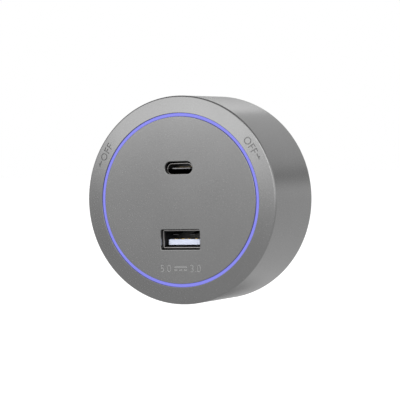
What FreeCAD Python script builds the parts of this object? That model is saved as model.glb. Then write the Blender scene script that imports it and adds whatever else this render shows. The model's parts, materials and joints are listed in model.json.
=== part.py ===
import FreeCAD
import Part
import Sketcher
import math
import os
import re

# Turn-lock charging socket for a slotted power track.
# Millimetres. X to the right, Y into the track, Z up. The origin is the middle of the seat plane,
# where the back of the socket bears on the track. The face looks towards -Y.

DIMENSIONS = (
    ("outer_radius", 32.5, "outside of the round housing"),
    ("body_depth", 29.5, "seat plane to the face"),
    ("seat_proud", 0.5, "seat ring standing out of the back"),
    ("wall", 2.2, "side wall of the housing"),
    ("bezel_back", 0.8, "fall of the bezel from its inner to its outer edge"),
    ("bezel_round", 0.6, "rounding of the bezel's outer edge"),
    ("rim_round", 0.5, "rounding of the rear rim"),
    ("panel_thick", 2.0, "front panel and the bezel's inner edge"),
    ("bezel_wide", 5.4, "bezel, from its inner to its outer edge"),
    ("panel_bevel", 0.2, "bevel of the panel's edge and of its openings"),
    ("ring_gap", 0.05, "gap each side of the lit ring"),
    ("ring_width", 0.95, "lit ring, seen from the front"),
    ("ring_drop", 0.3, "lit ring behind the face"),
    ("guide_flange", 1.2, "thickness of the light guide's flange"),
    ("guide_lap", 1.15, "light guide's flange behind the panel's edge"),
    ("guide_reach", 1.7, "light guide's flange behind the bezel's inner edge"),
    ("guide_skirt", 0.7, "wall of the light guide's skirt"),
    ("led_space", 2.6, "front panel to the lamp board"),
    ("led_board_thick", 1.0, "lamp board"),
    ("led_board_wide", 9.5, "lamp board, from its inner to its outer edge"),
    ("board_gap", 0.3, "edge of a round board to the housing"),
    ("led_count", 12, "lamps behind the lit ring"),
    ("led_long", 3.0, "lamp along the ring"),
    ("led_wide", 1.4, "lamp across the ring"),
    ("led_tall", 0.9, "height of a lamp"),
    ("short_post_in", 2.0, "lamp board's screws from its inner edge"),
    ("short_post_radius", 2.3, "posts for the lamp board"),
    ("tall_post_radius", 1.9, "posts for the port board"),
    ("tall_post_room", 0.7, "upper and lower post to the lamp board's inner edge"),
    ("tall_post_middle", -1.3, "middle post"),
    ("board_screw", 0.8, "radius of a board screw's shank"),
    ("board_screw_head", 1.7, "radius of a board screw's head"),
    ("screw_head_tall", 1.2, "height of a board screw's head"),
    ("screw_slack", 0.05, "gap round a screw in its pilot hole"),
    ("pass_slack", 0.3, "gap round a screw in a board"),
    ("short_screw", 3.2, "length of a lamp board screw in its post"),
    ("tall_screw", 6.0, "length of a port board screw in its post"),
    ("hole_spare", 0.5, "pilot hole beyond the end of its screw"),
    ("port_a_room", 0.74, "wide port's shell to the lower post"),
    ("port_c_height", 9.9, "height of the small port"),
    ("port_drop", 0.3, "mouth of a port behind the face"),
    ("boards_apart", 5.2, "port board to the power board"),
    ("shell_wall", 0.3, "sheet metal of a port's shell"),
    ("port_base", 3.6, "insulator at the back of a port"),
    ("tongue_drop", 0.8, "tongue behind the mouth of its port"),
    ("a_inner_wide", 12.5, "inside width of the wide port"),
    ("a_inner_tall", 5.12, "inside height of the wide port"),
    ("a_opening_wide", 13.4, "panel opening of the wide port, width"),
    ("a_opening_tall", 6.3, "panel opening of the wide port, height"),
    ("a_opening_round", 0.5, "corner of that opening"),
    ("a_tongue_wide", 11.1, "tongue of the wide port"),
    ("a_tongue_tall", 1.84, "thickness of that tongue"),
    ("a_tongue_under", 0.65, "gap under that tongue"),
    ("a_contact_wide", 1.0, "contact of the wide port"),
    ("a_contact_thick", 0.2, "contact standing on the tongue"),
    ("a_contact_near", 1.0, "inner contacts from the middle"),
    ("a_contact_far", 3.5, "outer contacts from the middle"),
    ("contact_set_back", 0.5, "contacts behind the tongue's tip"),
    ("c_inner_wide", 8.34, "inside width of the small port"),
    ("c_inner_tall", 2.56, "inside height of the small port"),
    ("c_opening_wide", 9.4, "panel opening of the small port, width"),
    ("c_opening_tall", 4.05, "panel opening of the small port, height"),
    ("c_tongue_wide", 6.69, "tongue of the small port"),
    ("c_tongue_tall", 0.7, "thickness of that tongue"),
    ("c_contact_wide", 0.25, "contact of the small port"),
    ("c_contact_thick", 0.05, "contact standing on the tongue"),
    ("c_contact_pitch", 0.5, "contact to contact in the small port"),
    ("c_contact_count", 12, "contacts on each side of the small tongue"),
    ("board_thick", 1.6, "port board and power board"),
    ("port_board_wide", 21.0, "width of the port board"),
    ("port_board_over", 1.9, "port board above the lamp link's middle"),
    ("port_board_under", 3.1, "port board below the lower post's middle"),
    ("port_board_round", 2.0, "corners of the port board"),
    ("pin_pitch", 2.54, "pin to pin in a board link"),
    ("pin_side", 0.64, "side of a square pin"),
    ("link_block", 2.5, "thickness and depth of a link's plastic block"),
    ("link_pins", 6, "pins in each power link"),
    ("link_apart", 8.6, "power links from the middle"),
    ("lamp_pins", 4, "pins in the lamp link"),
    ("lamp_link_in", 1.8, "lamp link from the lamp board's inner edge"),
    ("frame_slack", 0.1, "inner frame and rear cover to the housing"),
    ("frame_wall", 1.8, "wall of the inner frame"),
    ("frame_ledge", 0.8, "ledge in the inner frame for the power board"),
    ("bead_place", 6.0, "inner frame's bead from the lamp board"),
    ("bead_wide", 1.0, "width of that bead"),
    ("bead_proud", 0.25, "bead standing out of the frame, held in the housing's groove"),
    ("bead_gap", 0.1, "gap round the bead in its groove"),
    ("cover_thick", 2.5, "rear cover"),
    ("cover_bevel", 0.3, "bevel of the rear cover's edge"),
    ("boss_in", 3.0, "cover screws from the inner frame's outside"),
    ("boss_radius", 2.7, "screw bosses in the inner frame"),
    ("boss_room", 0.3, "gap from a boss to the power board"),
    ("cover_screw", 1.1, "radius of a cover screw's shank"),
    ("cover_screw_head", 2.0, "radius of a cover screw's head"),
    ("cover_screw_long", 7.0, "length of a cover screw"),
    ("post_gap", 0.3, "rear cover's posts to the inner frame"),
    ("post_radius", 2.0, "posts that press on the power board"),
    ("seat_inner", 18.0, "inner radius of the seat ring's groove"),
    ("seat_wide", 3.0, "width of the seat ring's groove"),
    ("seat_deep", 1.0, "depth of the seat ring's groove"),
    ("key_width", 10.3, "width of the key in the track's slot"),
    ("key_long", 19.0, "length of the key along the slot"),
    ("key_deep", 4.7, "key in the slot, from the seat plane"),
    ("key_set_back", 0.1, "key's hub behind the seat plane"),
    ("hub_radius", 11.0, "hub of the key, on which the cover turns"),
    ("flange_thick", 1.55, "thickness of that flange"),
    ("running_gap", 0.06, "running gap round the key's hub and the neck"),
    ("thrust_gap", 0.05, "end play beside the key's flange"),
    ("stop_lug_half", 10.0, "half the angle of the stop lug, degrees"),
    ("turn_each_way", 90.0, "turn from on to off, degrees"),
    ("stop_play", 1.0, "play left at each stop, degrees"),
    ("lug_stand", 0.95, "stop lug beyond the flange"),
    ("lug_gap", 0.15, "gap outside and beside the flange and the lug"),
    ("well_deep", 2.2, "well in the cover for the key's flange"),
    ("well_wall", 1.8, "wall of that well"),
    ("boss_bite", 0.2, "holding plate's bosses into the well's wall"),
    ("washer_thick", 0.5, "friction washer"),
    ("washer_inner", 6.0, "inner radius of the friction washer"),
    ("retainer_radius", 20.6, "plate that holds the key and the head"),
    ("retainer_thick", 2.0, "thickness of that plate"),
    ("retainer_edge", 2.0, "plate's screws from its edge"),
    ("retainer_screw", 0.9, "radius of those screws"),
    ("retainer_head", 1.8, "radius of their heads"),
    ("retainer_screw_long", 4.6, "length of those screws"),
    ("retainer_boss", 2.1, "bosses for those screws"),
    ("sheet_thick", 0.3, "insulating disc"),
    ("sheet_over", 0.5, "that disc beyond the holding plate"),
    ("power_gap", 0.6, "holding plate to the power board"),
    ("power_hole", 7.5, "hole in the power board for the neck"),
    ("neck_radius", 3.8, "neck of the head"),
    ("neck_bore", 2.4, "bore of the neck, for the leads"),
    ("neck_flat", 3.3, "flats on the neck's end, from the middle"),
    ("neck_fit", 0.05, "gap round the flatted end and the clip"),
    ("clip_thick", 0.8, "neck clip"),
    ("clip_groove", 3.2, "bottom of the clip's groove"),
    ("clip_radius", 5.8, "outside of the clip"),
    ("clip_mouth", 2.6, "half the clip's mouth"),
    ("neck_end", 0.9, "neck beyond the clip"),
    ("lip_room", 5.5, "seat plane to the head, where the track's lips go"),
    ("head_width", 9.8, "width of the head, less than the slot"),
    ("head_reach", 13.0, "radius of the head's round ends"),
    ("head_thick", 5.7, "head without its cap"),
    ("cap_thick", 1.5, "cap of the head"),
    ("head_bevel", 0.5, "bevel round the cap"),
    ("pocket_floor", 1.7, "front wall of the head's pockets"),
    ("pocket_start", 3.6, "inner end of a contact's pocket"),
    ("pocket_step", 8.6, "step that holds a contact in"),
    ("contact_wide", 4.5, "width of a contact's nose"),
    ("shoulder_wide", 5.9, "width of a contact's shoulder"),
    ("shoulder_long", 1.1, "length of that shoulder"),
    ("contact_left", 0.2, "contact still standing out of the head when pressed"),
    ("contact_play", 0.05, "gap round a contact in its pocket"),
    ("contact_round", 0.9, "rounding of a contact's nose"),
    ("contact_travel", 1.0, "travel of a contact into the head"),
    ("terminal_thick", 0.5, "terminal plate at the inner end of a pocket"),
    ("terminal_wide", 4.4, "width of a terminal plate"),
    ("coil_radius", 1.3, "contact spring, to the middle of its wire"),
    ("coil_wire", 0.2, "radius of the spring's wire"),
    ("coil_turns", 4, "turns of a contact spring"),
    ("lead_channel", 1.2, "half the width of the leads' channel"),
    ("lead_radius", 0.8, "insulated lead"),
    ("lead_apart", 0.95, "lead from the middle of the neck"),
    ("lead_bend", 1.7, "bend of a lead"),
    ("lead_reach", 10.5, "where a lead meets the power board"),
    ("lead_rise", 2.2, "lead in front of the power board"),
    ("cap_screw_apart", 3.1, "cap screws from the middle"),
    ("cap_screw", 0.7, "radius of a cap screw"),
    ("cap_screw_head", 1.2, "radius of its head"),
    ("cap_screw_sink", 0.8, "height of its head, sunk in the cap"),
    ("cap_screw_long", 2.4, "length of its shank in the head"),
    ("core_in", 10.8, "transformer's middle from the housing's wall"),
    ("core_up", 2.0, "height of the transformer's middle"),
    ("core_wide", 7.0, "transformer core, across"),
    ("core_room", 2.5, "transformer core to the lamp board"),
    ("core_tall", 13.0, "transformer core, height"),
    ("winding_room", 3.2, "core's middle leg to its shell, for the bobbin"),
    ("core_shell", 0.6, "core in front of and behind its window"),
    ("window_tall", 8.6, "height of the core's window"),
    ("bobbin_wall", 0.6, "wall of the bobbin"),
    ("bobbin_slack", 0.1, "gap from the bobbin to the core"),
    ("winding_drop", 0.4, "winding below the bobbin's edge"),
    ("capacitor_in", 12.3, "input capacitors from the housing's wall"),
    ("capacitor_pitch", 12.0, "input capacitor to input capacitor"),
    ("capacitor_radius", 4.0, "input capacitor"),
    ("capacitor_room", 2.0, "input capacitors to the lamp board"),
    ("capacitor_groove", 0.4, "depth of the groove round a capacitor"),
    ("groove_up", 1.6, "that groove from the board"),
    ("part_gap", 0.3, "port board to the parts that stand beside it"),
    ("output_gap", 2.35, "output capacitor to input capacitor"),
    ("output_radius", 3.15, "output capacitor"),
    ("output_tall", 8.0, "height of an output capacitor"),
    ("choke_gap", 5.1, "choke below the transformer"),
    ("choke_radius", 4.0, "choke"),
    ("choke_tall", 9.0, "height of the choke"),
    ("choke_flange", 1.2, "end discs of the choke"),
    ("choke_waist", 0.7, "winding below the choke's end discs"),
    ("fuse_gap", 1.1, "fuse above the transformer"),
    ("fuse_radius", 4.0, "fuse"),
    ("fuse_tall", 7.0, "height of the fuse"),
    ("chip_bevel", 0.3, "edge of a small moulding"),
    ("rectifier_wide", 7.0, "bridge rectifier, width"),
    ("rectifier_tall", 6.4, "bridge rectifier, height"),
    ("rectifier_thick", 2.4, "bridge rectifier, thickness"),
    ("rectifier_up", 17.0, "height of the bridge rectifier"),
    ("chip_wide", 5.0, "control chip, width"),
    ("chip_tall", 4.0, "control chip, height"),
    ("chip_thick", 1.6, "control chip, thickness"),
    ("chip_up", -17.0, "height of the control chip"),
    ("screws_around", 4, "screws on each circle"),
    ("first_screw", 45.0, "angle of the first screw, degrees"),
)
NAMES = {name for name, value, meaning in DIMENSIONS}

# Levels along Y, front to back, as expressions of the sizes above.
FACE = "(-body_depth)"
PORT_MOUTH = "(-body_depth + port_drop)"
RING_FACE = "(-body_depth + ring_drop)"
PANEL_BACK = "(-body_depth + panel_thick)"
GUIDE_BACK = "(-body_depth + panel_thick + guide_flange)"
LAMP_FRONT = "(-body_depth + panel_thick + led_space)"
LAMP_BACK = "(-body_depth + panel_thick + led_space + led_board_thick)"
BEAD_FRONT = f"({LAMP_BACK} + bead_place)"
BEAD_BACK = f"({LAMP_BACK} + bead_place + bead_wide)"
RIM = "(-seat_proud)"
COVER_INSIDE = "(-seat_proud - cover_thick)"
WELL_END = "(-seat_proud - cover_thick - well_deep)"
HOLDER_FRONT = "(-seat_proud - cover_thick - well_deep - retainer_thick)"
POWER_BACK = "(-seat_proud - cover_thick - well_deep - retainer_thick - power_gap)"
POWER_FRONT = "(-seat_proud - cover_thick - well_deep - retainer_thick - power_gap - board_thick)"
PORT_BACK = f"({POWER_FRONT} - boards_apart)"
PORT_FRONT = f"({POWER_FRONT} - boards_apart - board_thick)"
FLANGE_BACK = "(-seat_proud - cover_thick - thrust_gap)"
FLANGE_FRONT = "(-seat_proud - cover_thick - thrust_gap - flange_thick)"
NECK_END = "(-seat_proud - cover_thick - well_deep - retainer_thick - clip_thick - neck_end)"
HEAD_FRONT = "lip_room"
HEAD_BACK = "(lip_room + head_thick)"
CAP_BACK = "(lip_room + head_thick + cap_thick)"
POCKET_FLOOR = "(lip_room + pocket_floor)"
CONTACT_MIDDLE = "(lip_room + (pocket_floor + head_thick) / 2)"

# Radii and heights that several pieces share.
INSIDE = "(outer_radius - wall)"
LIP = "(outer_radius - bezel_wide)"
RING = f"({LIP} - ring_gap)"
PANEL = f"({LIP} - ring_width - 2 * ring_gap)"
LAMP_INNER = f"({INSIDE} - board_gap - led_board_wide)"
SHORT_POST = f"({LAMP_INNER} + short_post_in)"
TALL_POST = f"({LAMP_INNER} - tall_post_room - tall_post_radius)"
LAMP_LINK = f"({LAMP_INNER} + lamp_link_in)"
FRAME = f"({INSIDE} - frame_slack)"
FRAME_REAR = f"({FRAME} - frame_wall + frame_ledge)"
BOSS = f"({FRAME} - boss_in)"
POST = f"({FRAME_REAR} - post_gap - post_radius)"
RETAINER = "(retainer_radius - retainer_edge)"
WELL = f"({RETAINER} - retainer_boss + boss_bite - well_wall)"
FLANGE = f"({WELL} - lug_gap - lug_stand)"
A_SHELL_WIDE = "(a_inner_wide / 2 + shell_wall)"
A_SHELL_TALL = "(a_inner_tall / 2 + shell_wall)"
PORT_A = f"({A_SHELL_TALL} + port_a_room + tall_post_radius - {TALL_POST})"
TONGUE_LOW = f"({PORT_A} - a_inner_tall / 2 + a_tongue_under)"
TONGUE_HIGH = f"({TONGUE_LOW} + a_tongue_tall)"
CORE = f"(core_in - {INSIDE})"
CORE_DEEP = f"({POWER_FRONT} - {LAMP_BACK} - core_room)"
WINDOW = f"({CORE_DEEP} / 2 - core_shell)"
CORE_LEG = f"({WINDOW} - winding_room)"
SHOULDER = "(pocket_step - 2 * contact_play - shoulder_long)"

document = FreeCAD.newDocument("track_usb_socket")
sheet = document.addObject("Spreadsheet::Sheet", "dims")
for row, (name, value, meaning) in enumerate(DIMENSIONS, start=1):
    sheet.set(f"A{row}", meaning)
    sheet.set(f"B{row}", str(value))
    sheet.setAlias(f"B{row}", name)
document.recompute()
parts = []


def linked(expression):
    """Puts the sheet's name before each size in an expression."""
    return re.sub(r"[a-z]\w+", lambda word: f"dims.{word[0]}" if word[0] in NAMES else word[0], expression)


def size(expression):
    """The present value of an expression."""
    return float(sheet.evalExpression(linked(expression)))


# Sketch geometry, each point and radius bound to the sheet

def fix_point(sketch, item, point, across=None, along=None):
    place = sketch.getPoint(item, point)
    for kind, wanted, present in (("DistanceX", across, place.x), ("DistanceY", along, place.y)):
        if wanted is not None:
            index = sketch.addConstraint(Sketcher.Constraint(kind, -1, 1, item, point, present))
            sketch.setExpression(f"Constraints[{index}]", linked(wanted))


def fix_radius(sketch, item, radius):
    index = sketch.addConstraint(Sketcher.Constraint("Radius", item, size(radius)))
    sketch.setExpression(f"Constraints[{index}]", linked(radius))


def add_arc(sketch, centre, radius, start, end):
    circle = Part.Circle(FreeCAD.Vector(*centre, 0), FreeCAD.Vector(0, 0, 1), radius)
    return sketch.addGeometry(Part.ArcOfCircle(circle, math.radians(start), math.radians(end)))


def join(sketch, first, first_point, second, second_point):
    sketch.addConstraint(Sketcher.Constraint("Coincident", first, first_point, second, second_point))


def outline(*corners):
    """A closed outline through corners, each given as two expressions."""
    def draw(sketch):
        points = [FreeCAD.Vector(size(across), size(along), 0) for across, along in corners]
        lines = [
            sketch.addGeometry(Part.LineSegment(start, end))
            for start, end in zip(points, points[1:] + points[:1])
        ]
        for before, line, (across, along) in zip(lines[-1:] + lines[:-1], lines, corners):
            join(sketch, before, 2, line, 1)
            fix_point(sketch, line, 1, across, along)
    return draw


def rectangle(left, right, bottom, top):
    return outline((left, bottom), (right, bottom), (right, top), (left, top))


def centred(across, along, half_wide, half_tall):
    return rectangle(
        f"{across} - {half_wide}", f"{across} + {half_wide}", f"{along} - {half_tall}", f"{along} + {half_tall}")


def circle(across, along, radius):
    def draw(sketch):
        centre = FreeCAD.Vector(size(across), size(along), 0)
        item = sketch.addGeometry(Part.Circle(centre, FreeCAD.Vector(0, 0, 1), size(radius)))
        fix_point(sketch, item, 3, across, along)
        fix_radius(sketch, item, radius)
    return draw


def stadium(along, half_long, radius):
    """A slot shape, level, with its middle on the vertical axis."""
    def draw(sketch):
        reach = f"({half_long} - {radius})"
        far, up, round_end = size(reach), size(along), size(radius)
        right = add_arc(sketch, (far, up), round_end, -90, 90)
        left = add_arc(sketch, (-far, up), round_end, 90, 270)
        high = sketch.addGeometry(Part.LineSegment(
            FreeCAD.Vector(far, up + round_end, 0), FreeCAD.Vector(-far, up + round_end, 0)))
        low = sketch.addGeometry(Part.LineSegment(
            FreeCAD.Vector(-far, up - round_end, 0), FreeCAD.Vector(far, up - round_end, 0)))
        for arc, across in ((right, reach), (left, f"-{reach}")):
            fix_point(sketch, arc, 3, across, along)
            fix_radius(sketch, arc, radius)
            fix_point(sketch, arc, 1, across)
            fix_point(sketch, arc, 2, across)
        join(sketch, right, 2, high, 1)
        join(sketch, high, 2, left, 1)
        join(sketch, left, 2, low, 1)
        join(sketch, low, 2, right, 1)
    return draw


def bar(half_wide, reach):
    """An upright bar whose ends are arcs about the middle."""
    def draw(sketch):
        wide, radius = size(half_wide), size(reach)
        tall = math.sqrt(radius ** 2 - wide ** 2)
        corner = math.degrees(math.acos(wide / radius))
        top = add_arc(sketch, (0, 0), radius, corner, 180 - corner)
        bottom = add_arc(sketch, (0, 0), radius, 180 + corner, 360 - corner)
        left = sketch.addGeometry(Part.LineSegment(
            FreeCAD.Vector(-wide, tall, 0), FreeCAD.Vector(-wide, -tall, 0)))
        right = sketch.addGeometry(Part.LineSegment(
            FreeCAD.Vector(wide, -tall, 0), FreeCAD.Vector(wide, tall, 0)))
        for arc, start, end in ((top, half_wide, f"-{half_wide}"), (bottom, f"-{half_wide}", half_wide)):
            join(sketch, arc, 3, -1, 1)
            fix_radius(sketch, arc, reach)
            fix_point(sketch, arc, 1, start)
            fix_point(sketch, arc, 2, end)
        join(sketch, top, 2, left, 1)
        join(sketch, left, 2, bottom, 1)
        join(sketch, bottom, 2, right, 1)
        join(sketch, right, 2, top, 1)
    return draw


def sector(inner, outer, middle, half_angle):
    """Part of a ring about the origin, even about the vertical axis; middle is 90 or -90 degrees."""
    def draw(sketch):
        first, last = middle - size(half_angle), middle + size(half_angle)
        sign = "" if middle > 0 else "-"
        ends = []
        for radius in (inner, outer):
            side = f"({radius}) * sin({half_angle})"
            rise = f"{sign}({radius}) * cos({half_angle})"
            arc = add_arc(sketch, (0, 0), size(radius), first, last)
            fix_point(sketch, arc, 1, side if middle > 0 else f"-{side}", rise)
            fix_point(sketch, arc, 2, f"-{side}" if middle > 0 else side)
            fix_point(sketch, arc, 3, "0", "0")
            ends.append(arc)
        for point in (1, 2):
            edge = sketch.addGeometry(Part.LineSegment(
                sketch.getPoint(ends[0], point), sketch.getPoint(ends[1], point)))
            join(sketch, edge, 1, ends[0], point)
            join(sketch, edge, 2, ends[1], point)
    return draw


# Features of one body

def new_body(label):
    body = document.addObject("PartDesign::Body", label)
    body.Label = label
    parts.append(body)
    return body


def origin_item(body, role):
    return next(item for item in body.Origin.OriginFeatures if item.Role == role)


def new_sketch(body, name, plane, draws, across="0", out="0"):
    sketch = body.newObject("Sketcher::SketchObject", f"{name}_sketch")
    sketch.AttachmentSupport = [(origin_item(body, plane), "")]
    sketch.MapMode = "FlatFace"
    sketch.setExpression("AttachmentOffset.Base.x", linked(across))
    sketch.setExpression("AttachmentOffset.Base.z", linked(out))
    for draw in draws:
        draw(sketch)
    return sketch


def finish(body, feature):
    body.Tip = feature
    document.recompute()
    return feature


def slab(body, name, draws, front, back):
    """Material between two levels along Y."""
    feature = body.newObject("PartDesign::Pad", name)
    feature.Profile = new_sketch(body, name, "XZ_Plane", draws, out=f"-({back})")
    feature.setExpression("Length", linked(f"({back}) - ({front})"))
    return finish(body, feature)


def cut(body, name, draws, front, back):
    """Takes the material between two levels along Y away, and makes sure that something went."""
    before = body.Shape.Volume
    feature = body.newObject("PartDesign::Pocket", name)
    feature.Profile = new_sketch(body, name, "XZ_Plane", draws, out=f"-({front})")
    feature.setExpression("Length", linked(f"({back}) - ({front})"))
    finish(body, feature)
    if not body.Shape.Volume < before:
        raise RuntimeError(f"{body.Label}: {name} cut nothing")
    return feature


def turned(body, name, corners, across="0", up="0"):
    """A turned form about an axis along Y; each corner is a radius and a level."""
    feature = body.newObject("PartDesign::Revolution", name)
    feature.Profile = new_sketch(body, name, "XY_Plane", [outline(*corners)], across, up)
    feature.ReferenceAxis = (feature.Profile[0], ["V_Axis"])
    feature.Angle = 360
    return finish(body, feature)


def around(body, name, features, count="screws_around"):
    feature = body.newObject("PartDesign::PolarPattern", name)
    feature.Originals = features
    feature.Axis = (origin_item(body, "Y_Axis"), [""])
    feature.Angle = 360
    feature.setExpression("Occurrences", linked(count))
    return finish(body, feature)


def in_line(body, name, features, axis, count, pitch):
    feature = body.newObject("PartDesign::LinearPattern", name)
    feature.Originals = features
    feature.Direction = (origin_item(body, axis), [""])
    feature.setExpression("Occurrences", linked(count))
    feature.setExpression("Length", linked(f"({pitch}) * ({count} - 1)"))
    return finish(body, feature)


def mirrored(body, name, features, plane):
    feature = body.newObject("PartDesign::Mirrored", name)
    feature.Originals = features
    feature.MirrorPlane = (origin_item(body, plane), [""])
    return finish(body, feature)


def edges_of(feature, wanted):
    return [f"Edge{index}" for index, edge in enumerate(feature.Shape.Edges, start=1) if wanted(edge)]


def rounded(body, name, radius, wanted, kind="Fillet"):
    """Rounds or bevels the edges of the body's last feature that a test picks."""
    base = body.Tip
    names = edges_of(base, wanted)
    if not names:
        raise RuntimeError(f"{body.Label}: {name} found no edges")
    feature = body.newObject(f"PartDesign::{kind}", name)
    feature.Base = (base, names)
    feature.setExpression("Radius" if kind == "Fillet" else "Size", linked(radius))
    return finish(body, feature)


def is_ring(level, radius):
    """Picks whole circles about the Y axis at one level and radius."""
    def wanted(edge):
        curve = edge.Curve
        return (isinstance(curve, Part.Circle) and abs(curve.Center.y - size(level)) < 1e-4
                and math.hypot(curve.Center.x, curve.Center.z) < 1e-4
                and abs(curve.Radius - size(radius)) < 1e-4)
    return wanted


def is_level(level, reach=None):
    """Picks edges that lie at one level, and within a distance of the Y axis if one is given."""
    def wanted(edge):
        box = edge.BoundBox
        near = reach is None or max(abs(box.XMin), abs(box.XMax), abs(box.ZMin), abs(box.ZMax)) < size(reach)
        return near and abs(box.YMin - size(level)) < 1e-4 and abs(box.YMax - size(level)) < 1e-4
    return wanted


def is_along_y(edge):
    """Picks straight edges parallel to Y."""
    box = edge.BoundBox
    return box.YLength > 1e-3 and box.XLength < 1e-4 and box.ZLength < 1e-4


def turn_about_y(body, angle):
    """Turns a finished body about the Y axis, first screw up from the right."""
    body.Placement = FreeCAD.Placement(
        FreeCAD.Vector(), FreeCAD.Rotation(FreeCAD.Vector(0, -1, 0), size(angle)))


def screw_circle(body, name, pitch, radius, front, back):
    """A circle of holes about the Y axis, the first at the first screw's angle."""
    across = f"({pitch}) * cos(first_screw)"
    up = f"({pitch}) * sin(first_screw)"
    hole = cut(body, name, [circle(across, up, radius)], front, back)
    return around(body, f"{name}_all", [hole])


def screw_sinks(body, pitch, head, level, side):
    """A circle of conical sinks for screw heads; side is the sign from a level to a sink's point."""
    sink = body.newObject("PartDesign::Groove", "screw_sink")
    profile = outline(("0", level), (head, level), ("0", f"{level} {side} {head}"))
    sink.Profile = new_sketch(
        body, "screw_sink", "XY_Plane", [profile], f"{pitch} * cos(first_screw)", f"{pitch} * sin(first_screw)")
    sink.ReferenceAxis = (sink.Profile[0], ["V_Axis"])
    sink.Angle = 360
    before = body.Shape.Volume
    finish(body, sink)
    if not body.Shape.Volume < before:
        raise RuntimeError(f"{body.Label}: the screw sink cut nothing")
    around(body, "screw_sink_all", [sink])


def boss_circle(body, name, pitch, radius, front, back, first="first_screw"):
    across = f"({pitch}) * cos({first})"
    up = f"({pitch}) * sin({first})"
    boss = slab(body, name, [circle(across, up, radius)], front, back)
    return around(body, f"{name}_all", [boss])


# Front: housing, panel, lit ring and its lamps

def make_housing():
    body = new_body("outer_housing")
    groove = f"({FRAME} + bead_proud + bead_gap)"
    turned(body, "shell", (
        (LIP, FACE), ("outer_radius", f"{FACE} + bezel_back"), ("outer_radius", RIM),
        (INSIDE, RIM), (INSIDE, f"{BEAD_BACK} + bead_gap"), (groove, f"{BEAD_BACK} + bead_gap"),
        (groove, f"{BEAD_FRONT} - bead_gap"), (INSIDE, f"{BEAD_FRONT} - bead_gap"),
        (INSIDE, PANEL_BACK), (LIP, PANEL_BACK)))
    rounded(body, "bezel_edge", "bezel_round", is_ring(f"{FACE} + bezel_back", "outer_radius"))
    rounded(body, "rim_edge", "rim_round", is_ring(RIM, "outer_radius"))
    rounded(body, "lip_edge", "panel_bevel", is_ring(FACE, LIP), "Chamfer")


def make_panel():
    body = new_body("front_panel")
    slab(body, "disc", [circle("0", "0", PANEL)], FACE, PANEL_BACK)
    boss_circle(body, "short_post", SHORT_POST, "short_post_radius", PANEL_BACK, LAMP_FRONT)
    heights = (TALL_POST, "tall_post_middle", f"-{TALL_POST}")
    slab(body, "tall_posts", [circle("0", height, "tall_post_radius") for height in heights],
         PANEL_BACK, PORT_FRONT)
    screw_circle(body, "short_pilot", SHORT_POST, "board_screw + screw_slack",
                 f"{LAMP_BACK} - short_screw - led_board_thick", LAMP_FRONT)
    cut(body, "tall_pilots", [circle("0", height, "board_screw + screw_slack") for height in heights],
        f"{PORT_FRONT} - tall_screw - hole_spare", PORT_FRONT)
    cut(body, "wide_opening", [centred("0", PORT_A, "a_opening_wide / 2", "a_opening_tall / 2")],
        FACE, PANEL_BACK)
    rounded(body, "opening_corners", "a_opening_round", is_along_y)
    cut(body, "small_opening", [stadium("port_c_height", "c_opening_wide / 2", "c_opening_tall / 2")],
        FACE, PANEL_BACK)
    rounded(body, "front_edges", "panel_bevel", is_level(FACE), "Chamfer")


def make_light_guide():
    body = new_body("light_guide_ring")
    seen_inner = f"({RING} - ring_width)"
    inner, outer = f"({PANEL} - guide_lap)", f"({LIP} + guide_reach)"
    turned(body, "section", (
        (seen_inner, RING_FACE), (RING, RING_FACE), (RING, PANEL_BACK), (outer, PANEL_BACK),
        (outer, LAMP_FRONT), (f"{outer} - guide_skirt", LAMP_FRONT),
        (f"{outer} - guide_skirt", GUIDE_BACK), (inner, GUIDE_BACK),
        (inner, PANEL_BACK), (seen_inner, PANEL_BACK)))


def make_lamp_board():
    body = new_body("lamp_board")
    slab(body, "ring", [circle("0", "0", f"{INSIDE} - board_gap"), circle("0", "0", LAMP_INNER)],
         LAMP_FRONT, LAMP_BACK)
    screw_circle(body, "screw_hole", SHORT_POST, "board_screw + pass_slack", LAMP_FRONT, LAMP_BACK)
    lamps = new_body("lamp_chips")
    middle = f"({RING} - ring_width / 2)"
    chip = slab(lamps, "chip", [centred(middle, "0", "led_wide / 2", "led_long / 2")],
                f"{LAMP_FRONT} - led_tall", LAMP_FRONT)
    around(lamps, "all_chips", [chip], "led_count")


def make_inner_frame():
    body = new_body("inner_frame")
    bead, inner = f"({FRAME} + bead_proud)", f"({FRAME} - frame_wall)"
    turned(body, "tube", (
        (FRAME, LAMP_BACK), (FRAME, BEAD_FRONT), (bead, BEAD_FRONT), (bead, BEAD_BACK), (FRAME, BEAD_BACK),
        (FRAME, COVER_INSIDE), (FRAME_REAR, COVER_INSIDE), (FRAME_REAR, POWER_FRONT), (inner, POWER_FRONT),
        (inner, LAMP_BACK)))
    boss_circle(body, "screw_boss", BOSS, "boss_radius", POWER_FRONT, COVER_INSIDE)
    screw_circle(body, "pilot_hole", BOSS, "cover_screw + screw_slack",
                 f"{RIM} - cover_screw_long - hole_spare", COVER_INSIDE)


# Screws, each with a round head and a plain shank

def pan_screw(body, name, radius, head, level, reach, across="0", up="0"):
    """A screw driven from the back: its head stands behind a level, its shank ends at reach."""
    return turned(body, name, (
        ("0", f"{level} + screw_head_tall"), (f"{head} - chip_bevel", f"{level} + screw_head_tall"),
        (head, f"{level} + screw_head_tall - chip_bevel"), (head, level), (radius, level),
        (radius, reach), ("0", reach)), across, up)


def sunk_screw(body, name, radius, head, level, reach, side, across="0"):
    """A screw whose conical head lies flush with a level; side is the sign from reach to that level."""
    return turned(body, name, (
        ("0", level), (head, level), (radius, f"{level} {side} (({head}) - ({radius}))"),
        (radius, reach), ("0", reach)), across)


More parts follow.
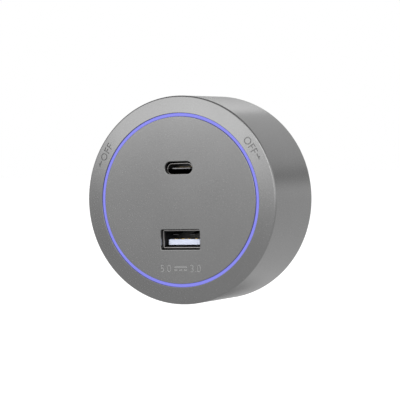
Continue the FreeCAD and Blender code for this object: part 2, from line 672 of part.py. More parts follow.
def make_board_screws():
    lamp = new_body("lamp_board_screws")
    one = pan_screw(lamp, "screw", "board_screw", "board_screw_head", LAMP_BACK,
                    f"{LAMP_BACK} - short_screw", SHORT_POST)
    around(lamp, "all_screws", [one])
    turn_about_y(lamp, "first_screw")
    port = new_body("port_board_screws")
    for name, height in (("upper", TALL_POST), ("middle", "tall_post_middle"), ("lower", f"-{TALL_POST}")):
        pan_screw(port, name, "board_screw", "board_screw_head", PORT_BACK,
                  f"{PORT_FRONT} - tall_screw", "0", height)


def make_cover_screws():
    cover = new_body("rear_cover_screws")
    one = sunk_screw(cover, "screw", "cover_screw", "cover_screw_head", RIM,
                     f"{RIM} - cover_screw_long", "-", BOSS)
    around(cover, "all_screws", [one])
    turn_about_y(cover, "first_screw")
    holder = new_body("holding_plate_screws")
    one = sunk_screw(holder, "screw", "retainer_screw", "retainer_head", HOLDER_FRONT,
                     f"{HOLDER_FRONT} + retainer_screw_long", "+", RETAINER)
    around(holder, "all_screws", [one])
    turn_about_y(holder, "first_screw")


# Charging ports

def make_wide_port():
    shell = new_body("usb_a_shell")
    slab(shell, "block", [centred("0", PORT_A, A_SHELL_WIDE, A_SHELL_TALL)], PORT_MOUTH, PORT_FRONT)
    rounded(shell, "corners", "shell_wall", is_along_y)
    cut(shell, "inside", [centred("0", PORT_A, "a_inner_wide / 2", "a_inner_tall / 2")],
        PORT_MOUTH, PORT_FRONT)
    insulator = new_body("usb_a_tongue")
    base_front = f"({PORT_FRONT} - port_base)"
    slab(insulator, "base", [centred("0", PORT_A, "a_inner_wide / 2", "a_inner_tall / 2")],
         base_front, PORT_FRONT)
    slab(insulator, "tongue", [rectangle("-a_tongue_wide / 2", "a_tongue_wide / 2", TONGUE_LOW, TONGUE_HIGH)],
         f"{PORT_MOUTH} + tongue_drop", base_front)
    rounded(insulator, "tongue_tip", "chip_bevel", is_level(f"{PORT_MOUTH} + tongue_drop"), "Chamfer")
    contacts = new_body("usb_a_contacts")
    strips = [
        rectangle(f"{middle} - a_contact_wide / 2", f"{middle} + a_contact_wide / 2",
                  TONGUE_HIGH, f"{TONGUE_HIGH} + a_contact_thick")
        for middle in ("-a_contact_far", "-a_contact_near", "a_contact_near", "a_contact_far")
    ]
    slab(contacts, "strips", strips, f"{PORT_MOUTH} + tongue_drop + contact_set_back", base_front)


def make_small_port():
    shell = new_body("usb_c_shell")
    slab(shell, "block", [stadium("port_c_height", "(c_inner_wide / 2 + shell_wall)",
                                  "(c_inner_tall / 2 + shell_wall)")], PORT_MOUTH, PORT_FRONT)
    cut(shell, "inside", [stadium("port_c_height", "c_inner_wide / 2", "c_inner_tall / 2")],
        PORT_MOUTH, PORT_FRONT)
    insulator = new_body("usb_c_tongue")
    base_front = f"({PORT_FRONT} - port_base)"
    slab(insulator, "base", [stadium("port_c_height", "c_inner_wide / 2", "c_inner_tall / 2")],
         base_front, PORT_FRONT)
    slab(insulator, "tongue", [centred("0", "port_c_height", "c_tongue_wide / 2", "c_tongue_tall / 2")],
         f"{PORT_MOUTH} + tongue_drop", base_front)
    contacts = new_body("usb_c_contacts")
    first = "(-c_contact_pitch * (c_contact_count - 1) / 2)"
    above = rectangle(f"{first} - c_contact_wide / 2", f"{first} + c_contact_wide / 2",
                      "port_c_height + c_tongue_tall / 2",
                      "port_c_height + c_tongue_tall / 2 + c_contact_thick")
    below = rectangle(f"{first} - c_contact_wide / 2", f"{first} + c_contact_wide / 2",
                      "port_c_height - c_tongue_tall / 2 - c_contact_thick",
                      "port_c_height - c_tongue_tall / 2")
    pair = slab(contacts, "pair", [above, below],
                f"{PORT_MOUTH} + tongue_drop + contact_set_back", base_front)
    in_line(contacts, "all_pairs", [pair], "X_Axis", "c_contact_count", "c_contact_pitch")


# Boards and the links between them

def make_port_board():
    body = new_body("port_board")
    slab(body, "board", [rectangle("-port_board_wide / 2", "port_board_wide / 2",
                                   f"-({TALL_POST} + port_board_under)",
                                   f"{LAMP_LINK} + port_board_over")], PORT_FRONT, PORT_BACK)
    rounded(body, "corners", "port_board_round", is_along_y)
    heights = (TALL_POST, "tall_post_middle", f"-{TALL_POST}")
    cut(body, "screw_holes", [circle("0", height, "board_screw + pass_slack") for height in heights],
        PORT_FRONT, PORT_BACK)


def make_links():
    power = new_body("power_link_pins")
    half_row = "(pin_pitch * link_pins / 2)"
    sides = ("link_apart", "(-link_apart)")
    slab(power, "blocks", [centred(side, "0", "link_block / 2", half_row) for side in sides],
         PORT_BACK, f"{PORT_BACK} + link_block")
    first = f"(pin_pitch / 2 - {half_row})"
    pins = slab(power, "pins", [centred(side, first, "pin_side / 2", "pin_side / 2") for side in sides],
                f"{PORT_BACK} + link_block", POWER_FRONT)
    in_line(power, "pin_rows", [pins], "Z_Axis", "link_pins", "pin_pitch")
    lamp = new_body("lamp_link_pins")
    half_row = "(pin_pitch * lamp_pins / 2)"
    slab(lamp, "block", [centred("0", LAMP_LINK, half_row, "link_block / 2")],
         f"{PORT_FRONT} - link_block", PORT_FRONT)
    pin = slab(lamp, "pin", [centred(f"(pin_pitch / 2 - {half_row})", LAMP_LINK, "pin_side / 2", "pin_side / 2")],
               LAMP_BACK, f"{PORT_FRONT} - link_block")
    in_line(lamp, "pin_row", [pin], "X_Axis", "lamp_pins", "pin_pitch")


def make_power_board():
    body = new_body("power_board")
    slab(body, "board", [circle("0", "0", f"{FRAME_REAR} - board_gap"), circle("0", "0", "power_hole")],
         POWER_FRONT, POWER_BACK)
    screw_circle(body, "boss_notch", BOSS, "boss_radius + boss_room", POWER_FRONT, POWER_BACK)


# What stands on the power board

def make_transformer():
    core = new_body("transformer_core")
    slab(core, "block", [centred(CORE, "core_up", "core_wide / 2", "core_tall / 2")],
         f"{POWER_FRONT} - {CORE_DEEP}", POWER_FRONT)
    middle = f"({POWER_FRONT} - {CORE_DEEP} / 2)"

    def about_leg(body, name, corners, kind):
        """Turned about the core's middle leg, which stands up; each corner is a radius and a height."""
        feature = body.newObject(f"PartDesign::{kind}", name)
        sketch = new_sketch(body, name, "XZ_Plane", [outline(*corners)], CORE, f"-{middle}")
        sketch.setExpression("AttachmentOffset.Base.y", linked("core_up"))
        feature.Profile = sketch
        feature.ReferenceAxis = (sketch, ["V_Axis"])
        feature.Angle = 360
        return finish(body, feature)

    half = "(window_tall / 2)"
    volume = core.Shape.Volume
    about_leg(core, "window", ((CORE_LEG, f"-{half}"), (WINDOW, f"-{half}"),
                               (WINDOW, half), (CORE_LEG, half)), "Groove")
    if not core.Shape.Volume < volume:
        raise RuntimeError("transformer_core: the window cut nothing")
    bobbin = new_body("transformer_bobbin")
    inner = f"({CORE_LEG} + bobbin_slack)"
    edge = f"({WINDOW} - bobbin_slack)"
    end = "(window_tall / 2 - bobbin_slack)"
    about_leg(bobbin, "spool", (
        (inner, f"-{end}"), (edge, f"-{end}"), (edge, f"-{end} + bobbin_wall"),
        (f"{inner} + bobbin_wall", f"-{end} + bobbin_wall"), (f"{inner} + bobbin_wall", f"{end} - bobbin_wall"),
        (edge, f"{end} - bobbin_wall"), (edge, end), (inner, end)), "Revolution")
    winding = new_body("transformer_winding")
    about_leg(winding, "coil", (
        (f"{inner} + bobbin_wall", f"-{end} + bobbin_wall"), (f"{edge} - winding_drop", f"-{end} + bobbin_wall"),
        (f"{edge} - winding_drop", f"{end} - bobbin_wall"), (f"{inner} + bobbin_wall", f"{end} - bobbin_wall")),
        "Revolution")


def capacitor(body, name, radius, tall, across, up):
    top = f"({POWER_FRONT} - {tall})"
    groove = f"({POWER_FRONT} - groove_up)"
    return turned(body, name, (
        ("0", top), (f"{radius} - chip_bevel", top), (radius, f"{top} + chip_bevel"),
        (radius, f"{groove} - capacitor_groove"), (f"{radius} - capacitor_groove", groove),
        (radius, f"{groove} + capacitor_groove"), (radius, POWER_FRONT), ("0", POWER_FRONT)), across, up)


def make_small_components():
    mains = new_body("input_capacitors")
    one = capacitor(mains, "can", "capacitor_radius", f"({POWER_FRONT} - {LAMP_BACK} - capacitor_room)",
                    f"{INSIDE} - capacitor_in", "capacitor_pitch / 2")
    mirrored(mains, "both", [one], "XY_Plane")
    output = new_body("output_capacitors")
    one = capacitor(output, "can", "output_radius", "output_tall",
                    "port_board_wide / 2 + part_gap + output_radius",
                    "capacitor_pitch / 2 + capacitor_radius + output_gap + output_radius")
    mirrored(output, "both", [one], "XY_Plane")
    choke = new_body("input_choke")
    top = f"({POWER_FRONT} - choke_tall)"
    waist = "(choke_radius - choke_waist)"
    turned(choke, "drum", (
        ("0", top), ("choke_radius", top), ("choke_radius", f"{top} + choke_flange"),
        (waist, f"{top} + choke_flange"), (waist, f"{POWER_FRONT} - choke_flange"),
        ("choke_radius", f"{POWER_FRONT} - choke_flange"), ("choke_radius", POWER_FRONT),
        ("0", POWER_FRONT)), "-(port_board_wide / 2 + part_gap + choke_radius)",
        "core_up - core_tall / 2 - choke_gap - choke_radius")
    fuse = new_body("input_fuse")
    top = f"({POWER_FRONT} - fuse_tall)"
    turned(fuse, "can", (
        ("0", top), ("fuse_radius - chip_bevel", top), ("fuse_radius", f"{top} + chip_bevel"),
        ("fuse_radius", POWER_FRONT), ("0", POWER_FRONT)), "-(port_board_wide / 2 + part_gap + fuse_radius)",
        "core_up + core_tall / 2 + fuse_gap + fuse_radius")
    for label, stem in (("bridge_rectifier", "rectifier"), ("control_chip", "chip")):
        body = new_body(label)
        front = f"{POWER_FRONT} - {stem}_thick"
        slab(body, "moulding", [centred("0", f"{stem}_up", f"{stem}_wide / 2", f"{stem}_tall / 2")],
             front, POWER_FRONT)
        rounded(body, "top_edges", "chip_bevel", is_level(front), "Chamfer")


# Back: cover, seat ring, key, washer, holding plate, clip and insulating disc

def make_rear_cover():
    body = new_body("rear_cover")
    hole = "(hub_radius + running_gap)"
    seat_outer = "(seat_inner + seat_wide)"
    turned(body, "plate", (
        (hole, COVER_INSIDE), (hole, RIM), ("seat_inner", RIM), ("seat_inner", f"{RIM} - seat_deep"),
        (seat_outer, f"{RIM} - seat_deep"), (seat_outer, RIM), (FRAME, RIM), (FRAME, COVER_INSIDE),
        (f"{WELL} + well_wall", COVER_INSIDE), (f"{WELL} + well_wall", WELL_END), (WELL, WELL_END),
        (WELL, COVER_INSIDE)))
    free_half = "(180 - turn_each_way - stop_lug_half - stop_play)"
    slab(body, "stop_arc", [sector(f"{FLANGE} + lug_gap", f"{WELL} + lug_gap", -90, free_half)],
         WELL_END, COVER_INSIDE)
    boss_circle(body, "plate_boss", RETAINER, "retainer_boss", WELL_END, COVER_INSIDE)
    boss_circle(body, "board_post", POST, "post_radius", POWER_BACK, COVER_INSIDE, "0")
    screw_circle(body, "plate_pilot", RETAINER, "retainer_screw + screw_slack",
                 WELL_END, f"{HOLDER_FRONT} + retainer_screw_long + screw_slack")
    screw_circle(body, "screw_hole", BOSS, "cover_screw + pass_slack", COVER_INSIDE, RIM)
    screw_sinks(body, BOSS, "(cover_screw_head + screw_slack)", RIM, "-")
    rounded(body, "outer_edge", "cover_bevel", is_ring(RIM, FRAME), "Chamfer")


def make_seat_ring():
    body = new_body("seat_ring")
    inner = "(seat_inner + neck_fit)"
    outer = "(seat_inner + seat_wide - neck_fit)"
    turned(body, "ring", (
        (inner, f"{RIM} - seat_deep"), (outer, f"{RIM} - seat_deep"), (outer, "-seat_proud / 2"),
        (f"{outer} - seat_proud / 2", "0"), (f"{inner} + seat_proud / 2", "0"), (inner, "-seat_proud / 2")))


def make_key():
    body = new_body("track_key")
    bore = "(neck_radius + running_gap)"
    turned(body, "hub", (
        (bore, FLANGE_FRONT), (FLANGE, FLANGE_FRONT), (FLANGE, FLANGE_BACK),
        ("hub_radius", FLANGE_BACK), ("hub_radius", "-key_set_back"), (bore, "-key_set_back")))
    slab(body, "stop_lug", [sector("hub_radius", f"{FLANGE} + lug_stand", 90, "stop_lug_half")],
         FLANGE_FRONT, FLANGE_BACK)
    slab(body, "slot_key", [stadium("0", "key_long / 2", "key_width / 2"), circle("0", "0", bore)],
         "-key_set_back", "key_deep")
    rounded(body, "key_edge", "chip_bevel", is_level("key_deep"), "Chamfer")


def make_washer():
    body = new_body("friction_washer")
    slab(body, "ring", [circle("0", "0", f"{FLANGE} - thrust_gap"), circle("0", "0", "washer_inner")],
         f"{FLANGE_FRONT} - washer_thick", FLANGE_FRONT)


def flatted(radius, flat):
    """A round shape with two upright flats."""
    return bar(flat, radius)


def make_holding_plate():
    body = new_body("holding_plate")
    slab(body, "disc", [circle("0", "0", "retainer_radius"), flatted("(neck_radius + neck_fit)", "(neck_flat + neck_fit)")],
         HOLDER_FRONT, WELL_END)
    screw_circle(body, "screw_hole", RETAINER, "retainer_screw + pass_slack", HOLDER_FRONT, WELL_END)
    screw_sinks(body, RETAINER, "(retainer_head + screw_slack)", HOLDER_FRONT, "+")


def make_clip():
    body = new_body("neck_clip")
    slab(body, "ring", [circle("0", "0", "clip_radius"), circle("0", "0", "clip_groove + neck_fit")],
         f"{HOLDER_FRONT} - clip_thick", HOLDER_FRONT)
    cut(body, "mouth", [rectangle("-clip_mouth", "clip_mouth", "-clip_radius", "0")],
        f"{HOLDER_FRONT} - clip_thick", HOLDER_FRONT)


def make_insulating_disc():
    body = new_body("insulating_disc")
    slab(body, "disc", [circle("0", "0", "retainer_radius + sheet_over"), circle("0", "0", "power_hole")],
         f"{HOLDER_FRONT} - sheet_thick", HOLDER_FRONT)


# The head that turns behind the track's lips, with its two sprung contacts

def make_head():
    body = new_body("head_body")
    slab(body, "neck", [circle("0", "0", "neck_radius")], NECK_END, HEAD_FRONT)
    slab(body, "arms", [bar("(head_width / 2)", "head_reach")], HEAD_FRONT, HEAD_BACK)
    cut(body, "lead_bore", [circle("0", "0", "neck_bore")], NECK_END, POCKET_FLOOR)
    cut(body, "lead_channel", [centred("0", "0", "lead_channel", "pocket_start")], POCKET_FLOOR, HEAD_BACK)
    shoulder = "(shoulder_wide / 2 + contact_play)"
    nose = "(contact_wide / 2 + contact_play)"
    for name, sign in (("upper", ""), ("lower", "-")):
        cut(body, f"{name}_pocket", [rectangle(f"-{shoulder}", shoulder, f"{sign}pocket_start", f"{sign}pocket_step")],
            POCKET_FLOOR, HEAD_BACK)
        cut(body, f"{name}_mouth", [rectangle(f"-{nose}", nose, f"{sign}pocket_step", f"{sign}head_reach")],
            POCKET_FLOOR, HEAD_BACK)
    cut(body, "screw_pilots", [circle(across, "0", "cap_screw + screw_slack") for across in
                               ("cap_screw_apart", "-cap_screw_apart")],
        f"{HEAD_BACK} - cap_screw_long - screw_slack", HEAD_BACK)
    flats = [rectangle("neck_flat", "neck_radius", "-neck_radius", "neck_radius"),
             rectangle("-neck_radius", "-neck_flat", "-neck_radius", "neck_radius")]
    cut(body, "neck_flats", flats, NECK_END, f"{WELL_END} + neck_fit")
    cut(body, "clip_groove", [circle("0", "0", "neck_radius"), circle("0", "0", "clip_groove")],
        f"{HOLDER_FRONT} - clip_thick - neck_fit", HOLDER_FRONT)


def make_cap():
    body = new_body("head_cap")
    slab(body, "plate", [bar("(head_width / 2)", "head_reach")], HEAD_BACK, CAP_BACK)
    screws = ("cap_screw_apart", "-cap_screw_apart")
    cut(body, "screw_holes", [circle(across, "0", "cap_screw + screw_slack") for across in screws],
        HEAD_BACK, CAP_BACK)
    cut(body, "screw_sinks", [circle(across, "0", "cap_screw_head + screw_slack") for across in screws],
        f"{CAP_BACK} - cap_screw_sink", CAP_BACK)
    rounded(body, "lead_in", "head_bevel", outer_cap_edge, "Chamfer")
    screws_body = new_body("head_cap_screws")
    one = turned(screws_body, "screw", (
        ("0", CAP_BACK), ("cap_screw_head", CAP_BACK), ("cap_screw_head", f"{CAP_BACK} - cap_screw_sink"),
        ("cap_screw", f"{CAP_BACK} - cap_screw_sink"), ("cap_screw", f"{HEAD_BACK} - cap_screw_long"),
        ("0", f"{HEAD_BACK} - cap_screw_long")), "cap_screw_apart")
    mirrored(screws_body, "both", [one], "YZ_Plane")


def outer_cap_edge(edge):
    """Picks the cap's outer rear edges, straight or round."""
    box = edge.BoundBox
    return is_level(CAP_BACK)(edge) and max(box.XLength, box.ZLength) > size("head_width / 2")


def make_contacts():
    front = f"{POCKET_FLOOR} + contact_play"
    back = f"{HEAD_BACK} - contact_play"
    tip = "(head_reach + contact_travel + contact_left)"
    for label, sign in (("line_contact", ""), ("neutral_contact", "-")):
        body = new_body(label)
        slab(body, "plunger", [outline(
            ("-shoulder_wide / 2", f"{sign}{SHOULDER}"), ("shoulder_wide / 2", f"{sign}{SHOULDER}"),
            ("shoulder_wide / 2", f"{sign}({SHOULDER} + shoulder_long)"),
            ("contact_wide / 2", f"{sign}({SHOULDER} + shoulder_long)"),
            ("contact_wide / 2", f"{sign}{tip}"), ("-contact_wide / 2", f"{sign}{tip}"),
            ("-contact_wide / 2", f"{sign}({SHOULDER} + shoulder_long)"),
            ("-shoulder_wide / 2", f"{sign}({SHOULDER} + shoulder_long)"))], front, back)
        height = size(f"{sign}{tip}")
        rounded(body, "nose", "contact_round",
                lambda edge: abs(edge.BoundBox.ZMin - height) < 1e-4 and abs(edge.BoundBox.ZMax - height) < 1e-4)
    terminals = new_body("contact_terminals")
    one = slab(terminals, "plate", [rectangle("-terminal_wide / 2", "terminal_wide / 2",
                                              "pocket_start", "pocket_start + terminal_thick")],
               front, back)
    mirrored(terminals, "both", [one], "XY_Plane")


def add_shape(label, shape, placement=FreeCAD.Placement()):
    """A piece that is swept along a path, whose sizes are read from the sheet here."""
    feature = document.addObject("Part::Feature", label)
    feature.Label = label
    feature.Shape = shape
    feature.Placement = placement
    parts.append(feature)


def make_springs():
    """Each spring is one helix of round wire, between its terminal and its contact's shoulder."""
    wire_radius, coil = size("coil_wire"), size("coil_radius")
    start = size("pocket_start + terminal_thick") + wire_radius
    end = size(SHOULDER) - wire_radius
    pitch = (end - start) / size("coil_turns")
    helix = Part.makeHelix(pitch, end - start, coil)
    section = Part.Wire(Part.makeCircle(wire_radius, FreeCAD.Vector(coil, 0, 0), FreeCAD.Vector(0, 1, 0)))
    spring = helix.makePipeShell([section], True, True)
    level = size(CONTACT_MIDDLE)
    upright = FreeCAD.Placement(FreeCAD.Vector(0, level, start), FreeCAD.Rotation())
    hanging = FreeCAD.Placement(
        FreeCAD.Vector(0, level, -start), FreeCAD.Rotation(FreeCAD.Vector(0, 1, 0), 180))
    add_shape("line_contact_spring", spring, upright)
    add_shape("neutral_contact_spring", spring.copy(), hanging)


def rounded_path(points, radius):
    """Straight runs joined by tangent arcs of one radius."""
    edges = []
    start = points[0]
    for before, corner, after in zip(points, points[1:], points[2:]):
        inward = (before - corner).normalize()
        onward = (after - corner).normalize()
        reach = radius / math.tan(inward.getAngle(onward) / 2)
        enter, leave = corner + inward * reach, corner + onward * reach
        middle_way = (inward + onward).normalize()
        centre = corner + middle_way * math.hypot(radius, reach)
        edges.append(Part.LineSegment(start, enter).toShape())
        edges.append(Part.Arc(enter, centre - middle_way * radius, leave).toShape())
        start = leave
    edges.append(Part.LineSegment(start, points[-1]).toShape())
    return Part.Wire(edges)


def make_leads():
    """The leads run from the terminals down the neck and out to the power board."""
    level, rise = size(CONTACT_MIDDLE), size(f"{POWER_FRONT} - lead_rise")
    for label, sign in (("line_lead", 1), ("neutral_lead", -1)):
        near, far = sign * size("lead_apart"), sign * size("lead_reach")
        route = [FreeCAD.Vector(0, level, sign * size("pocket_start")), FreeCAD.Vector(0, level, near),
                 FreeCAD.Vector(0, rise, near), FreeCAD.Vector(0, rise, far),
                 FreeCAD.Vector(0, size(POWER_FRONT), far)]
        path = rounded_path(route, size("lead_bend"))
        ring = Part.Wire(Part.makeCircle(size("lead_radius"), route[0], route[1] - route[0]))
        lead = path.makePipeShell([ring], True, True)
        section = math.pi * size("lead_radius") ** 2
        if abs(lead.Volume - section * path.Length) > 0.01 * lead.Volume:
            raise RuntimeError(f"{label}: the swept volume is wrong")
        add_shape(label, lead)


make_housing()
make_panel()
make_light_guide()
make_lamp_board()
make_board_screws()
make_inner_frame()
make_wide_port()
make_small_port()
make_port_board()
make_links()
make_power_board()
make_transformer()
make_small_components()
make_rear_cover()
make_cover_screws()
make_seat_ring()
make_key()
make_washer()
make_holding_plate()
make_clip()
make_insulating_disc()
make_head()
make_cap()
make_contacts()
make_springs()
make_leads()
document.recompute()

for item in document.Objects:
    if "Invalid" in item.State or "Error" in item.State:
        raise RuntimeError(f"{item.Label} is in state {item.State}")
for piece in parts:
    if piece.Shape.isNull() or not piece.Shape.isValid():
        raise RuntimeError(f"{piece.Label} has no valid shape")
os.makedirs("parts", exist_ok=True)
for piece in parts:
    piece.Shape.exportStep(f"parts/{piece.Label}.step")
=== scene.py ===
import json
import math

import bmesh
import bpy
from mathutils import Matrix, Vector


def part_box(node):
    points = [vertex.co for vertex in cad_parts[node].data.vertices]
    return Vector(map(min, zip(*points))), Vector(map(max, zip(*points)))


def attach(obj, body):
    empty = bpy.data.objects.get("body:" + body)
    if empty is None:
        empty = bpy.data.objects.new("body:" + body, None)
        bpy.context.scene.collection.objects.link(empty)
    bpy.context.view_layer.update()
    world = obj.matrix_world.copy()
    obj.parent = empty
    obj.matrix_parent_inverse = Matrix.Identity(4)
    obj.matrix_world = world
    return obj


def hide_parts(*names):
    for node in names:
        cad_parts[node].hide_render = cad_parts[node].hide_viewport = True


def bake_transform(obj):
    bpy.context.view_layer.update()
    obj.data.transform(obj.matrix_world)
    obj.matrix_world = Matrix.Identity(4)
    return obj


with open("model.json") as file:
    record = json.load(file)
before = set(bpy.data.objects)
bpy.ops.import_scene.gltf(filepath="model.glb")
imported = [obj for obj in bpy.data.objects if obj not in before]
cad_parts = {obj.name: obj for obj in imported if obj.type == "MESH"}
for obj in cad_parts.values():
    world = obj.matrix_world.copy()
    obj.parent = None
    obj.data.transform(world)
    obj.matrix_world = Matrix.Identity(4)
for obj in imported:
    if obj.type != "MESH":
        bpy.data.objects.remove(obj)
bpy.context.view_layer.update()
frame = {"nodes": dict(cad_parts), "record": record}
nodes = frame["nodes"]

# Sizes in metres, as the frame has them or as the real part measures
MM = 0.001
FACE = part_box("front_panel")[0].y
RING_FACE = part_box("light_guide_ring")[0].y
RING_DEEP = 1.7 * MM
PANEL_BACK = RING_FACE + RING_DEEP
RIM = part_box("outer_housing")[1].y
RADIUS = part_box("outer_housing")[1].x
PANEL_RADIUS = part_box("front_panel")[1].x
RING_CHANNEL = 1.05 * MM
LIP_RADIUS = PANEL_RADIUS + RING_CHANNEL
BEZEL_FALL = 0.8 * MM
WALL = 2.2 * MM
STEPS_ROUND = 288


def surface_of_bezel(radius):
    """Level of the sloping bezel at a radius."""
    return FACE + BEZEL_FALL * (radius - LIP_RADIUS) / (RADIUS - LIP_RADIUS)


# Camera, fitted to the rims in the photo

CAMERA_AZIMUTH = 26.3
CAMERA_ELEVATION = 1.2
CAMERA_ROLL = -1.46
CAMERA_DISTANCE = 0.668
CAMERA_LENS = 193.7
CAMERA_CLIP = (0.05, 20.0)
FACE_CENTRE_PX = (179.15, 200.2)
IMAGE_PX = 400.0


def direction_of(azimuth, elevation):
    """Unit vector from the object, by degrees to the right of its front and upwards."""
    across, up = math.radians(azimuth), math.radians(elevation)
    return Vector((math.sin(across) * math.cos(up), -math.cos(across) * math.cos(up), math.sin(up)))


def link_new(name, data):
    made = bpy.data.objects.new(name, data)
    bpy.context.scene.collection.objects.link(made)
    return made


def make_camera():
    back = direction_of(CAMERA_AZIMUTH, CAMERA_ELEVATION)
    data = bpy.data.cameras.new("camera")
    data.lens = CAMERA_LENS
    data.shift_x = (IMAGE_PX / 2 - FACE_CENTRE_PX[0]) / IMAGE_PX
    data.shift_y = (FACE_CENTRE_PX[1] - IMAGE_PX / 2) / IMAGE_PX
    data.clip_start, data.clip_end = CAMERA_CLIP
    camera = link_new("camera", data)
    camera.rotation_mode = "QUATERNION"
    camera.location = Vector((0, FACE, 0)) + back * CAMERA_DISTANCE
    turn = Matrix.Rotation(math.radians(CAMERA_ROLL), 3, "Z").to_quaternion()
    camera.rotation_quaternion = (-back).to_track_quat("-Z", "Y") @ turn
    bpy.context.scene.camera = camera


# Materials

# Roughness and colour follow the noise between these two of its values
NOISE_SPREAD = (0.3, 0.7)
SLOW_NOISE = 60.0
RING_NOISE = 90.0
LEAST_ROUGHNESS = 0.02


def new_material(name, colour, roughness, metallic=0.0):
    material = bpy.data.materials.new(name)
    material.use_nodes = True
    tree = material.node_tree
    shader = tree.nodes["Principled BSDF"]
    shader.inputs["Base Color"].default_value = (*colour, 1)
    shader.inputs["Roughness"].default_value = roughness
    shader.inputs["Metallic"].default_value = metallic
    return material, tree, shader


def graded(tree, value, spread, smooth=True):
    """Maps a value onto a range; spread holds two values, then the levels there."""
    grade = tree.nodes.new("ShaderNodeMapRange")
    grade.interpolation_type = "SMOOTHSTEP" if smooth else "LINEAR"
    for name, level in zip(("From Min", "From Max", "To Min", "To Max"), spread):
        grade.inputs[name].default_value = level
    tree.links.new(value, grade.inputs["Value"])
    return grade.outputs["Result"]


def product(tree, value, other):
    """Multiplies a value by another value or by a number."""
    times = tree.nodes.new("ShaderNodeMath")
    times.operation = "MULTIPLY"
    tree.links.new(value, times.inputs[0])
    if isinstance(other, float):
        times.inputs[1].default_value = other
    else:
        tree.links.new(other, times.inputs[1])
    return times.outputs[0]


def object_noise(tree, scale, detail=2.0):
    place = tree.nodes.new("ShaderNodeTexCoord")
    noise = tree.nodes.new("ShaderNodeTexNoise")
    noise.inputs["Scale"].default_value = scale
    noise.inputs["Detail"].default_value = detail
    tree.links.new(place.outputs["Object"], noise.inputs["Vector"])
    return noise.outputs["Fac"]


def between(tree, noise, low, high):
    """Maps a noise value onto a range."""
    return graded(tree, noise, (*NOISE_SPREAD, low, high), smooth=False)


def mixed_colour(tree, noise, dark, light):
    mix = tree.nodes.new("ShaderNodeMix")
    mix.data_type = "RGBA"
    mix.inputs["A"].default_value = (*dark, 1)
    mix.inputs["B"].default_value = (*light, 1)
    tree.links.new(between(tree, noise, 0, 1), mix.inputs["Factor"])
    return mix.outputs["Result"]


def shaded(colour, share):
    """A colour made lighter, or darker by a negative share."""
    return tuple(min(1.0, part * (1 + share)) for part in colour)


def add_bump(tree, shader, noise, height):
    bump = tree.nodes.new("ShaderNodeBump")
    bump.inputs["Strength"].default_value = 1.0
    bump.inputs["Distance"].default_value = height
    tree.links.new(noise, bump.inputs["Height"])
    tree.links.new(bump.outputs["Normal"], shader.inputs["Normal"])


# Heights of the grain in metres, and how many grains come to the metre
POLISHED = 0.000002
SATIN = 0.000008
MOULDED = 0.00001
TEXTURED = 0.00003
FINE, USUAL, COARSE = 3500.0, 2500.0, 1800.0


def grained(name, colour, roughness, metallic=0.0, shade=0.06, rough_spread=0.05,
            grain=USUAL, height=MOULDED):
    """A finish with fine grain, a slow drift of shade and a little spread of roughness."""
    material, tree, shader = new_material(name, colour, roughness, metallic)
    fine = object_noise(tree, grain, 3.0)
    slow = object_noise(tree, SLOW_NOISE)
    tree.links.new(
        mixed_colour(tree, slow, shaded(colour, -shade), shaded(colour, shade)),
        shader.inputs["Base Color"])
    tree.links.new(
        between(tree, fine, max(LEAST_ROUGHNESS, roughness - rough_spread), roughness + rough_spread),
        shader.inputs["Roughness"])
    add_bump(tree, shader, fine, height)
    return material


def lit_plastic(name, colour, roughness, glow, strength):
    """A clear plastic that glows evenly, with a slow drift of shade."""
    material, tree, shader = new_material(name, colour, roughness)
    slow = object_noise(tree, RING_NOISE)
    tree.links.new(mixed_colour(tree, slow, colour, shaded(colour, 0.05)), shader.inputs["Base Color"])
    shader.inputs["Emission Color"].default_value = (*glow, 1)
    shader.inputs["Emission Strength"].default_value = strength
    return material


GUNMETAL = (0.22, 0.22, 0.22)
STEEL = (0.5, 0.5, 0.52)
METAL = 0.95
